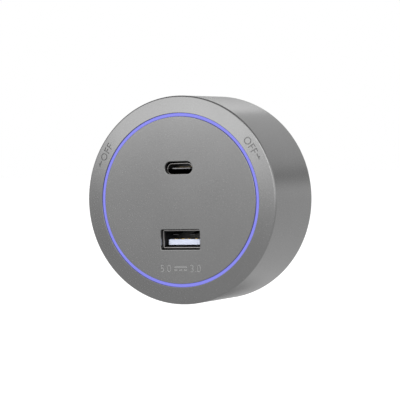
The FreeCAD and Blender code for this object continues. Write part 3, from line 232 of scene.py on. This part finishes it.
# Each finish: colour, roughness, metallic, spread of shade and of roughness, grain, height of grain
FINISHES = {
    "gunmetal_housing": (GUNMETAL, 0.24, 0.97, 0.03, 0.04, FINE, SATIN),
    "gunmetal_panel": (GUNMETAL, 0.24, 0.97, 0.03, 0.04, FINE, SATIN),
    "circuit_board": ((0.01, 0.075, 0.03), 0.4, 0.0, 0.15),
    "lamp": ((0.75, 0.8, 0.95), 0.25),
    "screw_steel": (STEEL, 0.3, METAL, 0.06, 0.05, USUAL, POLISHED),
    "black_plastic": ((0.012, 0.012, 0.013), 0.45, 0.0, 0.15),
    "port_steel": ((0.3, 0.29, 0.285), 0.3, METAL),
    # Near-black plastic behind the ports, and plates of painted shade inside the wide port's shell
    "port_insulator_and_painted_shade": ((0.008, 0.008, 0.009), 0.4, 0.0, 0.15),
    "grey_tongue": ((0.3, 0.3, 0.31), 0.4, 0.0, 0.05),
    "pale_tongue": ((0.72, 0.77, 0.92), 0.45, 0.0, 0.03),
    "gold_contact": ((0.75, 0.5, 0.17), 0.28, METAL, 0.06, 0.05, USUAL, POLISHED),
    "ferrite": ((0.02, 0.02, 0.022), 0.55, 0.1, 0.2),
    "yellow_tape": ((0.7, 0.48, 0.03), 0.35),
    "capacitor_sleeve": ((0.012, 0.02, 0.09), 0.3, 0.0, 0.1),
    "capacitor_can": ((0.6, 0.6, 0.62), 0.3, METAL, 0.06, 0.05, USUAL, POLISHED),
    "fuse_body": ((0.02, 0.02, 0.02), 0.4),
    "cover_plastic": ((0.035, 0.035, 0.037), 0.42, 0.0, 0.1, 0.06, COARSE, TEXTURED),
    "plate_steel": ((0.45, 0.45, 0.47), 0.34, METAL, 0.06, 0.05, USUAL, POLISHED),
    "seat_plastic": ((0.012, 0.012, 0.012), 0.6, 0.0, 0.08),
    "key_plastic": ((0.055, 0.055, 0.06), 0.4, 0.0, 0.1, 0.06, COARSE, TEXTURED),
    "washer_fibre": ((0.2, 0.06, 0.035), 0.6),
    "insulating_card": ((0.5, 0.47, 0.36), 0.6),
    "head_plastic": ((0.02, 0.02, 0.021), 0.38, 0.0, 0.12, 0.06, COARSE, TEXTURED),
    "copper_contact": ((0.72, 0.36, 0.19), 0.26, METAL, 0.06, 0.05, USUAL, POLISHED),
    # Steel darkened to painted shade, for the leaf springs inside the wide port
    "spring_steel_in_painted_shade": ((0.06, 0.058, 0.062), 0.45, 0.9),
    "spring_steel": (STEEL, 0.28, METAL, 0.06, 0.05, USUAL, POLISHED),
    "brown_lead": ((0.06, 0.02, 0.01), 0.45),
    "blue_lead": ((0.01, 0.025, 0.2), 0.45),
    "bezel_mark": ((0.16, 0.16, 0.16), 0.42, 0.8),
    "panel_mark": ((0.34, 0.34, 0.34), 0.4, 0.7),
}
MATERIALS = {name: grained(name, *finish) for name, finish in FINISHES.items()}
MATERIALS["lit_ring"] = lit_plastic("lit_ring", (0.06, 0.06, 0.25), 0.35, (0.28, 0.29, 1.0), 0.58)


# Floor, with the painted light and painted shadow that the metal mirrors

FLOOR_LEVEL = -0.055
FLOOR_HALF = 6.0
FLOOR_COLOUR = (0.72, 0.72, 0.72)
FLOOR_ROUGHNESS = 0.6
CAMERA_LIFT = 0.62
# The mirrored floor is an emission of painted light, a little brighter on the right of the socket, with a
# painted shadow of the socket close behind it.
# Each holds two places in metres, then the levels there.
FLOOR_PAINTED_LIGHT_ASIDE = (0.0, 0.055, 0.78, 0.85)
FLOOR_PAINTED_SHADOW = (0.015, 0.045, 0.25, 1.0)
PAINTED_SHADOW_PLACE = (-0.02, 0.03, FLOOR_LEVEL)


def show_backdrop(tree, shader):
    """The camera sees the floor as white as the backdrop; the metal mirrors painted light by its place, with
    a painted shadow close behind the socket.
    """
    path = tree.nodes.new("ShaderNodeLightPath")
    shader.inputs["Emission Color"].default_value = (1, 1, 1, 1)
    tree.links.new(
        product(tree, path.outputs["Is Camera Ray"], CAMERA_LIFT), shader.inputs["Emission Strength"])
    place = tree.nodes.new("ShaderNodeTexCoord")
    axes = tree.nodes.new("ShaderNodeSeparateXYZ")
    tree.links.new(place.outputs["Object"], axes.inputs[0])
    away = tree.nodes.new("ShaderNodeVectorMath")
    away.operation = "DISTANCE"
    away.inputs[1].default_value = PAINTED_SHADOW_PLACE
    tree.links.new(place.outputs["Object"], away.inputs[0])
    aside = graded(tree, axes.outputs["X"], FLOOR_PAINTED_LIGHT_ASIDE)
    # Painted floor light and painted shadow, seen only by glossy rays
    painted_floor_light = tree.nodes.new("ShaderNodeEmission")
    tree.links.new(
        product(tree, aside, graded(tree, away.outputs["Value"], FLOOR_PAINTED_SHADOW)), painted_floor_light.inputs["Strength"])
    chosen = tree.nodes.new("ShaderNodeMixShader")
    tree.links.new(path.outputs["Is Glossy Ray"], chosen.inputs[0])
    tree.links.new(shader.outputs[0], chosen.inputs[1])
    tree.links.new(painted_floor_light.outputs[0], chosen.inputs[2])
    tree.links.new(chosen.outputs[0], tree.nodes["Material Output"].inputs["Surface"])


def make_floor():
    bm = bmesh.new()
    bmesh.ops.create_grid(bm, x_segments=1, y_segments=1, size=FLOOR_HALF)
    bmesh.ops.translate(bm, verts=bm.verts, vec=(0, 0, FLOOR_LEVEL))
    mesh = bpy.data.meshes.new("floor")
    bm.to_mesh(mesh)
    bm.free()
    floor = link_new("floor", mesh)
    material, tree, shader = new_material("pale_floor", FLOOR_COLOUR, FLOOR_ROUGHNESS)
    show_backdrop(tree, shader)
    mesh.materials.append(material)


# Light: softboxes, and a room whose brightness changes with height

# Each softbox: name, degrees to the right and up, distance, width and height, brightness
SOFTBOXES = (
    ("front_softbox", -24, 23, 0.3, 0.22, 0.19, 1.22),
    ("side_softbox", 26, 7, 0.5, 0.45, 0.3, 0.5),
    ("catch_softbox", 18, 25, 0.5, 0.18, 0.2, 2.4),
    ("rear_softbox", -160, 34, 0.8, 0.3, 0.3, 0.8),
)
# Brightness of the backdrop by height, from straight down (0) to straight up (1)
BACKDROP = (
    (0.0, 0.9), (0.42, 0.95), (0.52, 0.92), (0.578, 0.46), (0.625, 0.78), (0.74, 0.84), (0.84, 0.5),
    (1.0, 0.35))
# Brightness of the walls on the camera's side, likewise
WALLS = ((0.0, 0.7), (0.47, 0.9), (0.52, 1.2), (0.6, 1.15), (0.72, 0.88), (0.84, 0.5), (1.0, 0.35))
# Their share of it from the left (-1) to the right (1): two places, then the levels there
WALLS_ASIDE = (-0.75, -0.1, 0.88, 1.32)
# Where the walls give way to the backdrop, from the front (-1) to the rear (1), likewise
WALLS_END = (0.2, 0.7, 0.0, 1.0)


def add_softbox(name, azimuth, elevation, distance, wide, tall, level):
    """A soft light of even brightness, set by its direction from the object and its size."""
    data = bpy.data.lights.new(name, "AREA")
    data.shape = "RECTANGLE"
    data.size = wide
    data.size_y = tall
    data.energy = level * wide * tall * math.pi
    toward = direction_of(azimuth, elevation)
    lamp = link_new(name, data)
    lamp.location = toward * distance
    lamp.rotation_euler = (-toward).to_track_quat("-Z", "Y").to_euler()


def brightness_by_height(tree, height, stops):
    ramp = tree.nodes.new("ShaderNodeValToRGB")
    ramp.color_ramp.interpolation = "EASE"
    tree.links.new(graded(tree, height, (-1.0, 1.0, 0.0, 1.0), smooth=False), ramp.inputs["Fac"])
    marks = ramp.color_ramp.elements
    while len(marks) < len(stops):
        marks.new(0.5)
    for mark, (place, level) in zip(marks, stops):
        mark.position = place
        mark.color = (level, level, level, 1)
    return ramp.outputs["Color"]


def colour_mix(tree):
    mix = tree.nodes.new("ShaderNodeMix")
    mix.data_type = "RGBA"
    return mix


def make_light():
    """A lit backdrop behind, walls on the camera's side, and the softboxes."""
    scene = bpy.context.scene
    scene.view_settings.view_transform = "Standard"
    world = bpy.data.worlds.new("studio")
    scene.world = world
    world.use_nodes = True
    tree = world.node_tree
    direction = tree.nodes.new("ShaderNodeTexCoord")
    axes = tree.nodes.new("ShaderNodeSeparateXYZ")
    tree.links.new(direction.outputs["Generated"], axes.inputs[0])
    walls = tree.nodes.new("ShaderNodeVectorMath")
    walls.operation = "SCALE"
    tree.links.new(brightness_by_height(tree, axes.outputs["Z"], WALLS), walls.inputs[0])
    tree.links.new(graded(tree, axes.outputs["X"], WALLS_ASIDE, smooth=False), walls.inputs["Scale"])
    room = colour_mix(tree)
    tree.links.new(graded(tree, axes.outputs["Y"], WALLS_END), room.inputs["Factor"])
    tree.links.new(walls.outputs[0], room.inputs["A"])
    tree.links.new(brightness_by_height(tree, axes.outputs["Z"], BACKDROP), room.inputs["B"])
    path = tree.nodes.new("ShaderNodeLightPath")
    seen = colour_mix(tree)
    seen.inputs["B"].default_value = (1, 1, 1, 1)
    tree.links.new(path.outputs["Is Camera Ray"], seen.inputs["Factor"])
    tree.links.new(room.outputs["Result"], seen.inputs["A"])
    tree.links.new(seen.outputs["Result"], tree.nodes["Background"].inputs["Color"])
    for softbox in SOFTBOXES:
        add_softbox(*softbox)


make_camera()
make_floor()
make_light()


# Modelling

# Points this close count as one place or level
NEAR = 1e-6
MERGED = 1e-7
# Edges bent by more than these angles are shaded sharp, or are corners to be rounded
SHARP = math.radians(28)
CORNER = 1.0
SQUARE_TO_AXIS = 0.9999


def bevelled(bm, edges, size, segments, clamp_overlap=False):
    bmesh.ops.bevel(bm, geom=edges, offset=size, offset_type="OFFSET", affect="EDGES",
                    segments=segments, profile=0.5, material=-1, clamp_overlap=clamp_overlap)


def ring_edges(bm, radius, level):
    """The edges of the ring at a radius and level."""
    def on_ring(vert):
        return abs(vert.co.y - level) < NEAR and abs(math.hypot(vert.co.x, vert.co.z) - radius) < NEAR
    return [edge for edge in bm.edges if all(on_ring(vert) for vert in edge.verts)]


def rim_edges(bm, level):
    """The edges at a level where a front meets the sides."""
    return [edge for edge in bm.edges if len(edge.link_faces) == 2 and edge.calc_face_angle(0.0) > CORNER
            and all(abs(vert.co.y - level) < NEAR for vert in edge.verts)]


def spun(corners, rounded=(), loops=(), segments=6, steps=STEPS_ROUND, closed=True):
    """Turns a profile of radius and level about the Y axis and rounds the rings named by corner.

    Loops are levels at which an extra ring keeps the shading of a rounding off the face beside it.
    A profile that isn't closed starts and ends on the axis.
    """
    bm = bmesh.new()
    verts = [bm.verts.new((radius, level, 0)) for radius, level in corners]
    edges = [bm.edges.new(pair) for pair in zip(verts, verts[1:] + (verts[:1] if closed else []))]
    bmesh.ops.spin(bm, geom=verts + edges, cent=(0, 0, 0), axis=(0, 1, 0), dvec=(0, 0, 0),
                   angle=math.tau, steps=steps, use_merge=True)
    bmesh.ops.remove_doubles(bm, verts=bm.verts, dist=MERGED)
    bmesh.ops.recalc_face_normals(bm, faces=bm.faces)
    for index, size in rounded:
        bevelled(bm, ring_edges(bm, *corners[index]), size, segments)
    for level in loops:
        bmesh.ops.bisect_plane(bm, geom=bm.verts[:] + bm.edges[:] + bm.faces[:],
                               plane_co=(0, level, 0), plane_no=(0, 1, 0))
    return bm


def moved(bm, across=0.0, level=0.0, up=0.0):
    bmesh.ops.translate(bm, verts=bm.verts, vec=(across, level, up))
    return bm


def tipped(bm, degrees):
    """Turns a bmesh about the X axis."""
    turn = Matrix.Rotation(math.radians(degrees), 3, "X")
    bmesh.ops.rotate(bm, verts=bm.verts, cent=(0, 0, 0), matrix=turn)
    return bm


def thickened(bm, faces, depth):
    """Gives flat faces depth along Y."""
    made = bmesh.ops.extrude_face_region(bm, geom=faces)["geom"]
    deep = [item for item in made if isinstance(item, bmesh.types.BMVert)]
    bmesh.ops.translate(bm, verts=deep, vec=(0, depth, 0))


def joined(bm, other):
    """Adds one bmesh to another."""
    scratch = bpy.data.meshes.new("scratch")
    other.to_mesh(scratch)
    other.free()
    bm.from_mesh(scratch)
    bpy.data.meshes.remove(scratch)
    return bm


def prism(half_wide, half_tall, corner, middle, front, back, across=0.0, segments=4):
    """A rounded bar along Y from one level to another, with its middle at a height."""
    bm = bmesh.new()
    made = bmesh.ops.create_cube(bm, size=1.0)["verts"]
    bmesh.ops.scale(bm, verts=made, vec=(2 * half_wide, back - front, 2 * half_tall))
    moved(bm, 0.0, (front + back) / 2, middle)
    along = [edge for edge in bm.edges if abs(edge.verts[0].co.y - edge.verts[1].co.y) > NEAR]
    bevelled(bm, along, corner, segments, clamp_overlap=True)
    return moved(bm, across)


def smooth_by_angle(bm):
    """Shades curved faces smooth, and leaves those square to the axis flat."""
    bm.normal_update()
    for face in bm.faces:
        face.smooth = abs(face.normal.y) < SQUARE_TO_AXIS
    for edge in bm.edges:
        edge.smooth = len(edge.link_faces) == 2 and edge.calc_face_angle(0.0) < SHARP


def new_object(name, bm, finish):
    mesh = bpy.data.meshes.new(name)
    bm.to_mesh(mesh)
    bm.free()
    mesh.materials.append(MATERIALS[finish])
    return link_new(name, mesh)


def piece_from(name, bm, finish, body="socket", stands_for=()):
    """A piece of the scene that rides on a body, or on none when no body is given."""
    smooth_by_angle(bm)
    piece = new_object(name, bm, finish)
    if stands_for:
        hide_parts(*stands_for)
    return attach(piece, body) if body else piece


def cutter_from(name, bm, finish):
    bmesh.ops.recalc_face_normals(bm, faces=bm.faces)
    return new_object(name, bm, finish)


def rework(piece, change=None):
    """Shades the mesh of a piece anew, after a change to it if one is given."""
    bm = bmesh.new()
    bm.from_mesh(piece.data)
    bm.normal_update()
    if change:
        change(bm)
    smooth_by_angle(bm)
    bm.to_mesh(piece.data)
    bm.free()


def carve(piece, *cutters):
    """Cuts recesses into a piece; their walls and floors keep the cutter's finish."""
    for cutter in cutters:
        modifier = piece.modifiers.new(cutter.name, "BOOLEAN")
        modifier.operation = "DIFFERENCE"
        modifier.solver = "EXACT"
        modifier.object = cutter
        modifier.material_mode = "TRANSFER"
    bpy.context.view_layer.update()
    carved = bpy.data.meshes.new_from_object(piece.evaluated_get(bpy.context.evaluated_depsgraph_get()))
    piece.modifiers.clear()
    piece.data = carved
    rework(piece)
    for cutter in cutters:
        bpy.data.objects.remove(cutter)


WORDS_MERGED = 1e-4


def flat_words(words, height, spread=1.0):
    """Flat lettering as a bmesh, centred, capitals of one height, lying in X and Y."""
    curve = bpy.data.curves.new(words, "FONT")
    curve.body = words
    curve.align_x = "CENTER"
    curve.space_character = spread
    curve.resolution_u = 4
    holder = link_new(words, curve)
    bpy.context.view_layer.update()
    mesh = bpy.data.meshes.new_from_object(holder.evaluated_get(bpy.context.evaluated_depsgraph_get()))
    bpy.data.objects.remove(holder)
    bm = bmesh.new()
    bm.from_mesh(mesh)
    bmesh.ops.remove_doubles(bm, verts=bm.verts, dist=WORDS_MERGED)
    across = [vert.co.x for vert in bm.verts]
    up = [vert.co.y for vert in bm.verts]
    moved(bm, -(min(across) + max(across)) / 2, -(min(up) + max(up)) / 2)
    bmesh.ops.scale(bm, verts=bm.verts, vec=(height / (max(up) - min(up)),) * 3)
    return bm


# Housing with its engraved marks

MARK_DEPTH = 0.14 * MM
MARK_RADIUS = 29.65 * MM
MARK_HEIGHT = 2.3 * MM
# The words on the bezel: name, degrees round from the right, side that the arrow points to
BEZEL_MARKS = (("left_mark", 180 - 31.4, -1), ("right_mark", 33.8, 1))
ARROW_UP = 0.35 * MM
ARROW_LENGTH = 2.0 * MM
ARROW_GAP = 0.45 * MM


def add_arrow(bm, start, side):
    """A thin half-headed arrow beside the letters, pointing away from them."""
    half, barb, slope = 0.16 * MM, 1.2 * MM, math.radians(38)
    end_x, end_y = ARROW_LENGTH - barb * math.cos(slope), barb * math.sin(slope) - half
    inner_x, inner_y = end_x - 2 * half * math.sin(slope), end_y - 2 * half * math.cos(slope)
    corners = ((0, -half), (ARROW_LENGTH, -half), (end_x, end_y), (inner_x, inner_y),
               (inner_x + (inner_y - half) / math.tan(slope), half), (0, half))
    bm.faces.new([bm.verts.new((start + side * x, ARROW_UP + y, 0)) for x, y in corners])


def wrapped_cutter(name, bm, middle_degrees):
    """Bends flat marks round the bezel and gives them depth."""
    flat = bmesh.ops.triangulate(bm, faces=bm.faces)["faces"]
    for vert in bm.verts:
        angle = math.radians(middle_degrees) - vert.co.x / MARK_RADIUS
        radius = MARK_RADIUS + vert.co.y
        vert.co = (radius * math.cos(angle), surface_of_bezel(radius) - MARK_DEPTH, radius * math.sin(angle))
    thickened(bm, flat, 2 * MARK_DEPTH)
    return cutter_from(name, bm, "bezel_mark")


def make_housing():
    front_edge, rear_edge, lip, close = 0.52 * MM, 0.5 * MM, 0.17 * MM, 0.05 * MM
    inner = RADIUS - WALL
    bm = spun(
        ((LIP_RADIUS, FACE), (RADIUS, FACE + BEZEL_FALL), (RADIUS, RIM), (inner, RIM), (inner, PANEL_BACK),
         (LIP_RADIUS, PANEL_BACK)),
        rounded=((0, lip), (1, front_edge), (2, rear_edge)),
        loops=(surface_of_bezel(LIP_RADIUS + lip + close), surface_of_bezel(RADIUS - front_edge - close),
               FACE + BEZEL_FALL + front_edge + close, RIM - rear_edge - close))
    housing = piece_from("housing", bm, "gunmetal_housing", stands_for=("outer_housing",))
    cutters = []
    for name, degrees, side in BEZEL_MARKS:
        words = flat_words("OFF", MARK_HEIGHT, 1.05)
        half = max(vert.co.x for vert in words.verts)
        add_arrow(words, side * (half + ARROW_GAP), side)
        cutters.append(wrapped_cutter(name, words, degrees))
    carve(housing, *cutters)


# Front panel with its two openings and the supply mark

PANEL_EDGE = 0.18 * MM
OPENING_BEVEL = 0.2 * MM
# The openings' edges lie within this of the axis, between a face that looks forward and one that doesn't
PORTS_REACH = 20 * MM
FORWARD, SIDEWAYS = -0.99, 0.1
WIDE_PORT_UP = (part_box("usb_a_shell")[0].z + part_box("usb_a_shell")[1].z) / 2
SMALL_PORT_UP = (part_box("usb_c_shell")[0].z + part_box("usb_c_shell")[1].z) / 2
# Each opening: name, half width, half height, corner, height of its middle, segments of a corner
OPENINGS = (
    ("wide_opening", 6.75 * MM, 3.15 * MM, 0.5 * MM, WIDE_PORT_UP + 0.14 * MM, 6),
    ("small_opening", 4.75 * MM, 1.98 * MM, 1.9799 * MM, SMALL_PORT_UP + 0.15 * MM, 16),
)
SUPPLY_MARK_UP = -21.2 * MM
MARK_PROUD = 0.3 * MM
# In millimetres: words and how far across; middle across and up, width and height of each stroke
SUPPLY_WORDS = (("5.0", -5.3), ("3.0", 5.0))
SUPPLY_STROKES = (
    (-0.2, 0.45, 4.6, 0.36), (-1.9, -0.5, 1.2, 0.36), (-0.2, -0.5, 1.2, 0.36), (1.5, -0.5, 1.2, 0.36))


def supply_mark():
    """A direct-current sign between two plain numbers."""
    bm = bmesh.new()
    for words, across in SUPPLY_WORDS:
        joined(bm, moved(flat_words(words, MARK_HEIGHT), across * MM))
    for across, up, wide, tall in SUPPLY_STROKES:
        stroke = bmesh.ops.create_grid(bm, x_segments=1, y_segments=1, size=0.5)["verts"]
        bmesh.ops.scale(bm, verts=stroke, vec=(wide * MM, tall * MM, 1))
        bmesh.ops.translate(bm, verts=stroke, vec=(across * MM, up * MM, 0))
    flat = list(bm.faces)
    for vert in bm.verts:
        vert.co = (vert.co.x, FACE - MARK_PROUD, vert.co.y + SUPPLY_MARK_UP)
    thickened(bm, flat, MARK_PROUD + MARK_DEPTH)
    return cutter_from("supply_mark", bm, "panel_mark")


def bevel_openings(bm):
    """Takes the sharp edge off both port openings, as the panel's press tool does."""
    def round_opening(edge):
        facing = sorted(face.normal.y for face in edge.link_faces)
        near = all(math.hypot(vert.co.x, vert.co.z) < PORTS_REACH for vert in edge.verts)
        return near and len(facing) == 2 and facing[0] < FORWARD and abs(facing[1]) < SIDEWAYS
    bevelled(bm, [edge for edge in bm.edges if round_opening(edge)], OPENING_BEVEL, 3)


def make_panel():
    bm = bmesh.new()
    bmesh.ops.create_circle(bm, cap_ends=True, radius=PANEL_RADIUS, segments=STEPS_ROUND)
    moved(tipped(bm, 90), 0.0, FACE)
    thickened(bm, bm.faces[:], PANEL_BACK - FACE)
    bmesh.ops.recalc_face_normals(bm, faces=bm.faces)
    bevelled(bm, ring_edges(bm, PANEL_RADIUS, FACE), PANEL_EDGE, 6)
    panel = piece_from("panel", bm, "gunmetal_panel", stands_for=("front_panel",))
    cutters = []
    for name, half_wide, half_tall, corner, up, segments in OPENINGS:
        through = prism(half_wide, half_tall, corner, up, FACE - MM, PANEL_BACK + MM, 0.0, segments)
        cutters.append(cutter_from(name, through, "gunmetal_panel"))
    carve(panel, *cutters)
    rework(panel, bevel_openings)
    carve(panel, supply_mark())


def make_light_ring():
    """The lit ring in its channel, with the flange and the skirt that carry it behind the panel."""
    inner, outer, edge = PANEL_RADIUS + 0.07 * MM, PANEL_RADIUS + 0.98 * MM, 0.12 * MM
    lamp_front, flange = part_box("light_guide_ring")[1].y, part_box("light_guide_ring")[1].x
    skirt, flange_back, flange_inner = flange - 0.7 * MM, PANEL_BACK + 1.2 * MM, 24.9 * MM
    bm = spun(((inner, RING_FACE), (outer, RING_FACE), (outer, PANEL_BACK), (flange, PANEL_BACK),
               (flange, lamp_front), (skirt, lamp_front), (skirt, flange_back),
               (flange_inner, flange_back), (flange_inner, PANEL_BACK), (inner, PANEL_BACK)),
              rounded=((0, edge), (1, edge)), segments=4)
    piece_from("lit_ring", bm, "lit_ring", stands_for=("light_guide_ring",))


# Charging ports

# Half width, half height, corner and wall of each shell, then of each tongue without the wall
WIDE_SHELL = (6.55 * MM, 2.85 * MM, 0.45 * MM, 0.3 * MM)
SMALL_SHELL = (4.47 * MM, 1.78 * MM, 1.779 * MM, 0.25 * MM)
WIDE_TONGUE = (5.4 * MM, 0.88 * MM, 0.2 * MM)
SMALL_TONGUE = (3.0 * MM, 0.16 * MM, 0.07 * MM)
TONGUE_NOSE = 0.15 * MM
SHELL_END = 0.3 * MM
SHELL_MOUTH = 0.09 * MM
LINING_GAP = 0.02 * MM
# The wide port's near-black plates inside its steel shell are painted shade. In millimetres: half width and
# height, middle across and up, how far behind the shell's mouth they start
PAINTED_SHADE_PLATES = (
    (0.06, 2.45, -6.16, 0.0, 0.5), (0.06, 2.45, 6.16, 0.0, 0.5),
    (6.1, 0.05, 0.0, 2.47, 0.5), (6.1, 0.05, 0.0, -2.47, 0.8))


def folded_shell(name, size, middle, front, back, segments, node):
    """A drawn steel shell, open at the front and closed behind, its mouth slightly rounded."""
    half_wide, half_tall, corner, wall = size
    outside = prism(half_wide, half_tall, corner, middle, front, back, 0.0, segments)
    shell = piece_from(name, outside, "port_steel", stands_for=(node,))
    inside = prism(half_wide - wall, half_tall - wall, max(corner - wall, 0.1 * MM), middle,
                   front - MM, back - SHELL_END, 0.0, segments)
    carve(shell, cutter_from(name + "_inside", inside, "port_steel"))
    rework(shell, lambda bm: bevelled(bm, rim_edges(bm, front), SHELL_MOUTH, 3))


def make_wide_port():
    up = WIDE_PORT_UP + 0.28 * MM
    front, back = FACE + 1.3 * MM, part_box("usb_a_shell")[1].y
    folded_shell("wide_port_shell", WIDE_SHELL, up, front, back, 4, "usb_a_shell")
    tongue_up, tongue_front = WIDE_PORT_UP - 0.74 * MM, FACE + 2.9 * MM
    tongue = prism(*WIDE_TONGUE, tongue_up, tongue_front, FACE + 10.0 * MM)
    bevelled(tongue, rim_edges(tongue, tongue_front), TONGUE_NOSE, 3)
    piece_from("wide_port_tongue", tongue, "pale_tongue", stands_for=("usb_a_tongue",))
    lining_front, plate_back = FACE + 9.6 * MM, FACE + 9.7 * MM
    lining = prism(6.2 * MM, 2.5 * MM, 0.3 * MM, up, lining_front, back - SHELL_END - LINING_GAP)
    # Near-black plates on the shell's inner walls: painted shade
    for half_wide, half_tall, across, raised, behind in PAINTED_SHADE_PLATES:
        joined(lining, prism(half_wide * MM, half_tall * MM, 0.02 * MM, up + raised * MM,
                             front + behind * MM, plate_back, across * MM))
    piece_from("wide_port_back_and_shade_plates", lining, "port_insulator_and_painted_shade")
    springs = bmesh.new()
    for across in (-2.9, 2.9):
        leaf = prism(0.9 * MM, 0.1 * MM, 0.05 * MM, 0.0, 0.0, 5.2 * MM, across * MM)
        joined(springs, moved(tipped(leaf, 9), 0.0, FACE + 3.0 * MM, up + 1.35 * MM))
    # The leaf springs take steel darkened to painted shade
    piece_from("wide_port_springs", springs, "spring_steel_in_painted_shade")
    strips = bmesh.new()
    for across in (-3.5, -1.0, 1.0, 3.5):
        joined(strips, prism(0.5 * MM, 0.06 * MM, 0.03 * MM, tongue_up + 0.93 * MM,
                             FACE + 4.2 * MM, FACE + 9.9 * MM, across * MM))
    piece_from("wide_port_contacts", strips, "gold_contact", stands_for=("usb_a_contacts",))


def make_small_port():
    up = SMALL_PORT_UP - 0.18 * MM
    tongue_up = SMALL_PORT_UP - 0.06 * MM
    front, back = FACE + 1.2 * MM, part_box("usb_c_shell")[1].y
    folded_shell("small_port_shell", SMALL_SHELL, up, front, back, 12, "usb_c_shell")
    tongue = prism(*SMALL_TONGUE, tongue_up, FACE + 2.1 * MM, FACE + 4.4 * MM)
    piece_from("small_port_tongue", tongue, "grey_tongue", stands_for=("usb_c_tongue",))
    strips_back = FACE + 6.4 * MM
    lining = prism(4.2 * MM, 1.4 * MM, 1.39 * MM, up, FACE + 6.3 * MM, back - SHELL_END - LINING_GAP, 0.0, 12)
    joined(lining, prism(3.34 * MM, 0.35 * MM, 0.1 * MM, tongue_up, FACE + 4.2 * MM, strips_back))
    piece_from("small_port_lining", lining, "port_insulator_and_painted_shade")
    strips = bmesh.new()
    for side in (-1, 1):
        for index in range(12):
            joined(strips, prism(0.11 * MM, 0.03 * MM, 0.01 * MM, tongue_up + side * 0.36 * MM,
                                 FACE + 4.6 * MM, strips_back, (index - 5.5) * 0.5 * MM))
    piece_from("small_port_contacts", strips, "gold_contact", stands_for=("usb_c_contacts",))


# Screws in view from behind

def crossed_screws(name, places, corners, half_long, half_wide, deep, node):
    """Screws along Y, each with a cross-shaped recess in its head."""
    bm = bmesh.new()
    for across, up in places:
        one = spun(corners, rounded=((1, 0.1 * MM),), segments=3, steps=40, closed=False)
        joined(bm, moved(one, across, 0.0, up))
    screws = piece_from(name, bm, "screw_steel", stands_for=(node,))
    head = corners[0][1]
    for arm, wide, tall in (("_upright_slot", half_wide, half_long), ("_level_slot", half_long, half_wide)):
        slots = bmesh.new()
        for across, up in places:
            joined(slots, prism(wide, tall, 0.06 * MM, up, head - deep, head + MM, across))
        carve(screws, cutter_from(name + arm, slots, "screw_steel"))


def make_screws():
    """Countersunk screws in the cover and cheese-head ones in the head's cap."""
    low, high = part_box("rear_cover_screws")
    radius, shank = 2.0 * MM, 1.1 * MM
    reach = high.x - radius
    crossed_screws(
        "cover_screws", [(side * reach, up * reach) for side in (-1, 1) for up in (-1, 1)],
        ((0, high.y), (radius, high.y), (shank, high.y - radius + shank), (shank, low.y), (0, low.y)),
        1.2 * MM, 0.24 * MM, 0.75 * MM, "rear_cover_screws")
    low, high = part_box("head_cap_screws")
    radius, shank, sink = 1.2 * MM, 0.7 * MM, 0.8 * MM
    reach = high.x - radius
    crossed_screws(
        "cap_screws", [(side * reach, 0) for side in (-1, 1)],
        ((0, high.y), (radius, high.y), (radius, high.y - sink), (shank, high.y - sink), (shank, low.y),
         (0, low.y)),
        0.78 * MM, 0.17 * MM, 0.5 * MM, "head_cap_screws")


# Springs behind the contacts

# Each spring: name, the node it stands for, the body its moving end rides on, the side it points to
CONTACT_SPRINGS = (
    ("line_spring", "line_contact_spring", "line_plunger", 1),
    ("neutral_spring", "neutral_contact_spring", "neutral_plunger", -1),
)


def make_contact_springs():
    """Each coil stands on its terminal, wound through the length of the node it stands for."""
    wire, turns, steps = 0.2 * MM, 4, 144
    for name, node, plunger, away in CONTACT_SPRINGS:
        low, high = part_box(node)
        middle = (low.y + high.y) / 2
        start, end = (low.z, high.z) if away > 0 else (high.z, low.z)
        bm = bmesh.new()
        bmesh.ops.create_circle(bm, radius=wire, segments=10)
        moved(tipped(bm, 90), high.x - wire, middle, start + away * wire)
        rise = end - start - 2 * away * wire
        bmesh.ops.spin(bm, geom=bm.verts[:] + bm.edges[:], cent=(0, middle, 0), axis=(0, 0, 1),
                       dvec=(0, 0, rise / steps), angle=math.tau * turns, steps=steps)
        bmesh.ops.holes_fill(bm, edges=bm.edges, sides=0)
        bmesh.ops.recalc_face_normals(bm, faces=bm.faces)
        coil = piece_from(name, bm, "spring_steel", None, (node,))
        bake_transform(coil)


def dress_nodes():
    """Gives each CAD node that stays in view the finish of its slot."""
    for entry in frame["record"]["subparts"]:
        node = nodes[entry["node"]]
        node.data.materials.clear()
        node.data.materials.append(MATERIALS[entry["material_slot"]])


make_housing()
make_panel()
make_light_ring()
make_wide_port()
make_small_port()
make_screws()
make_contact_springs()
dress_nodes()
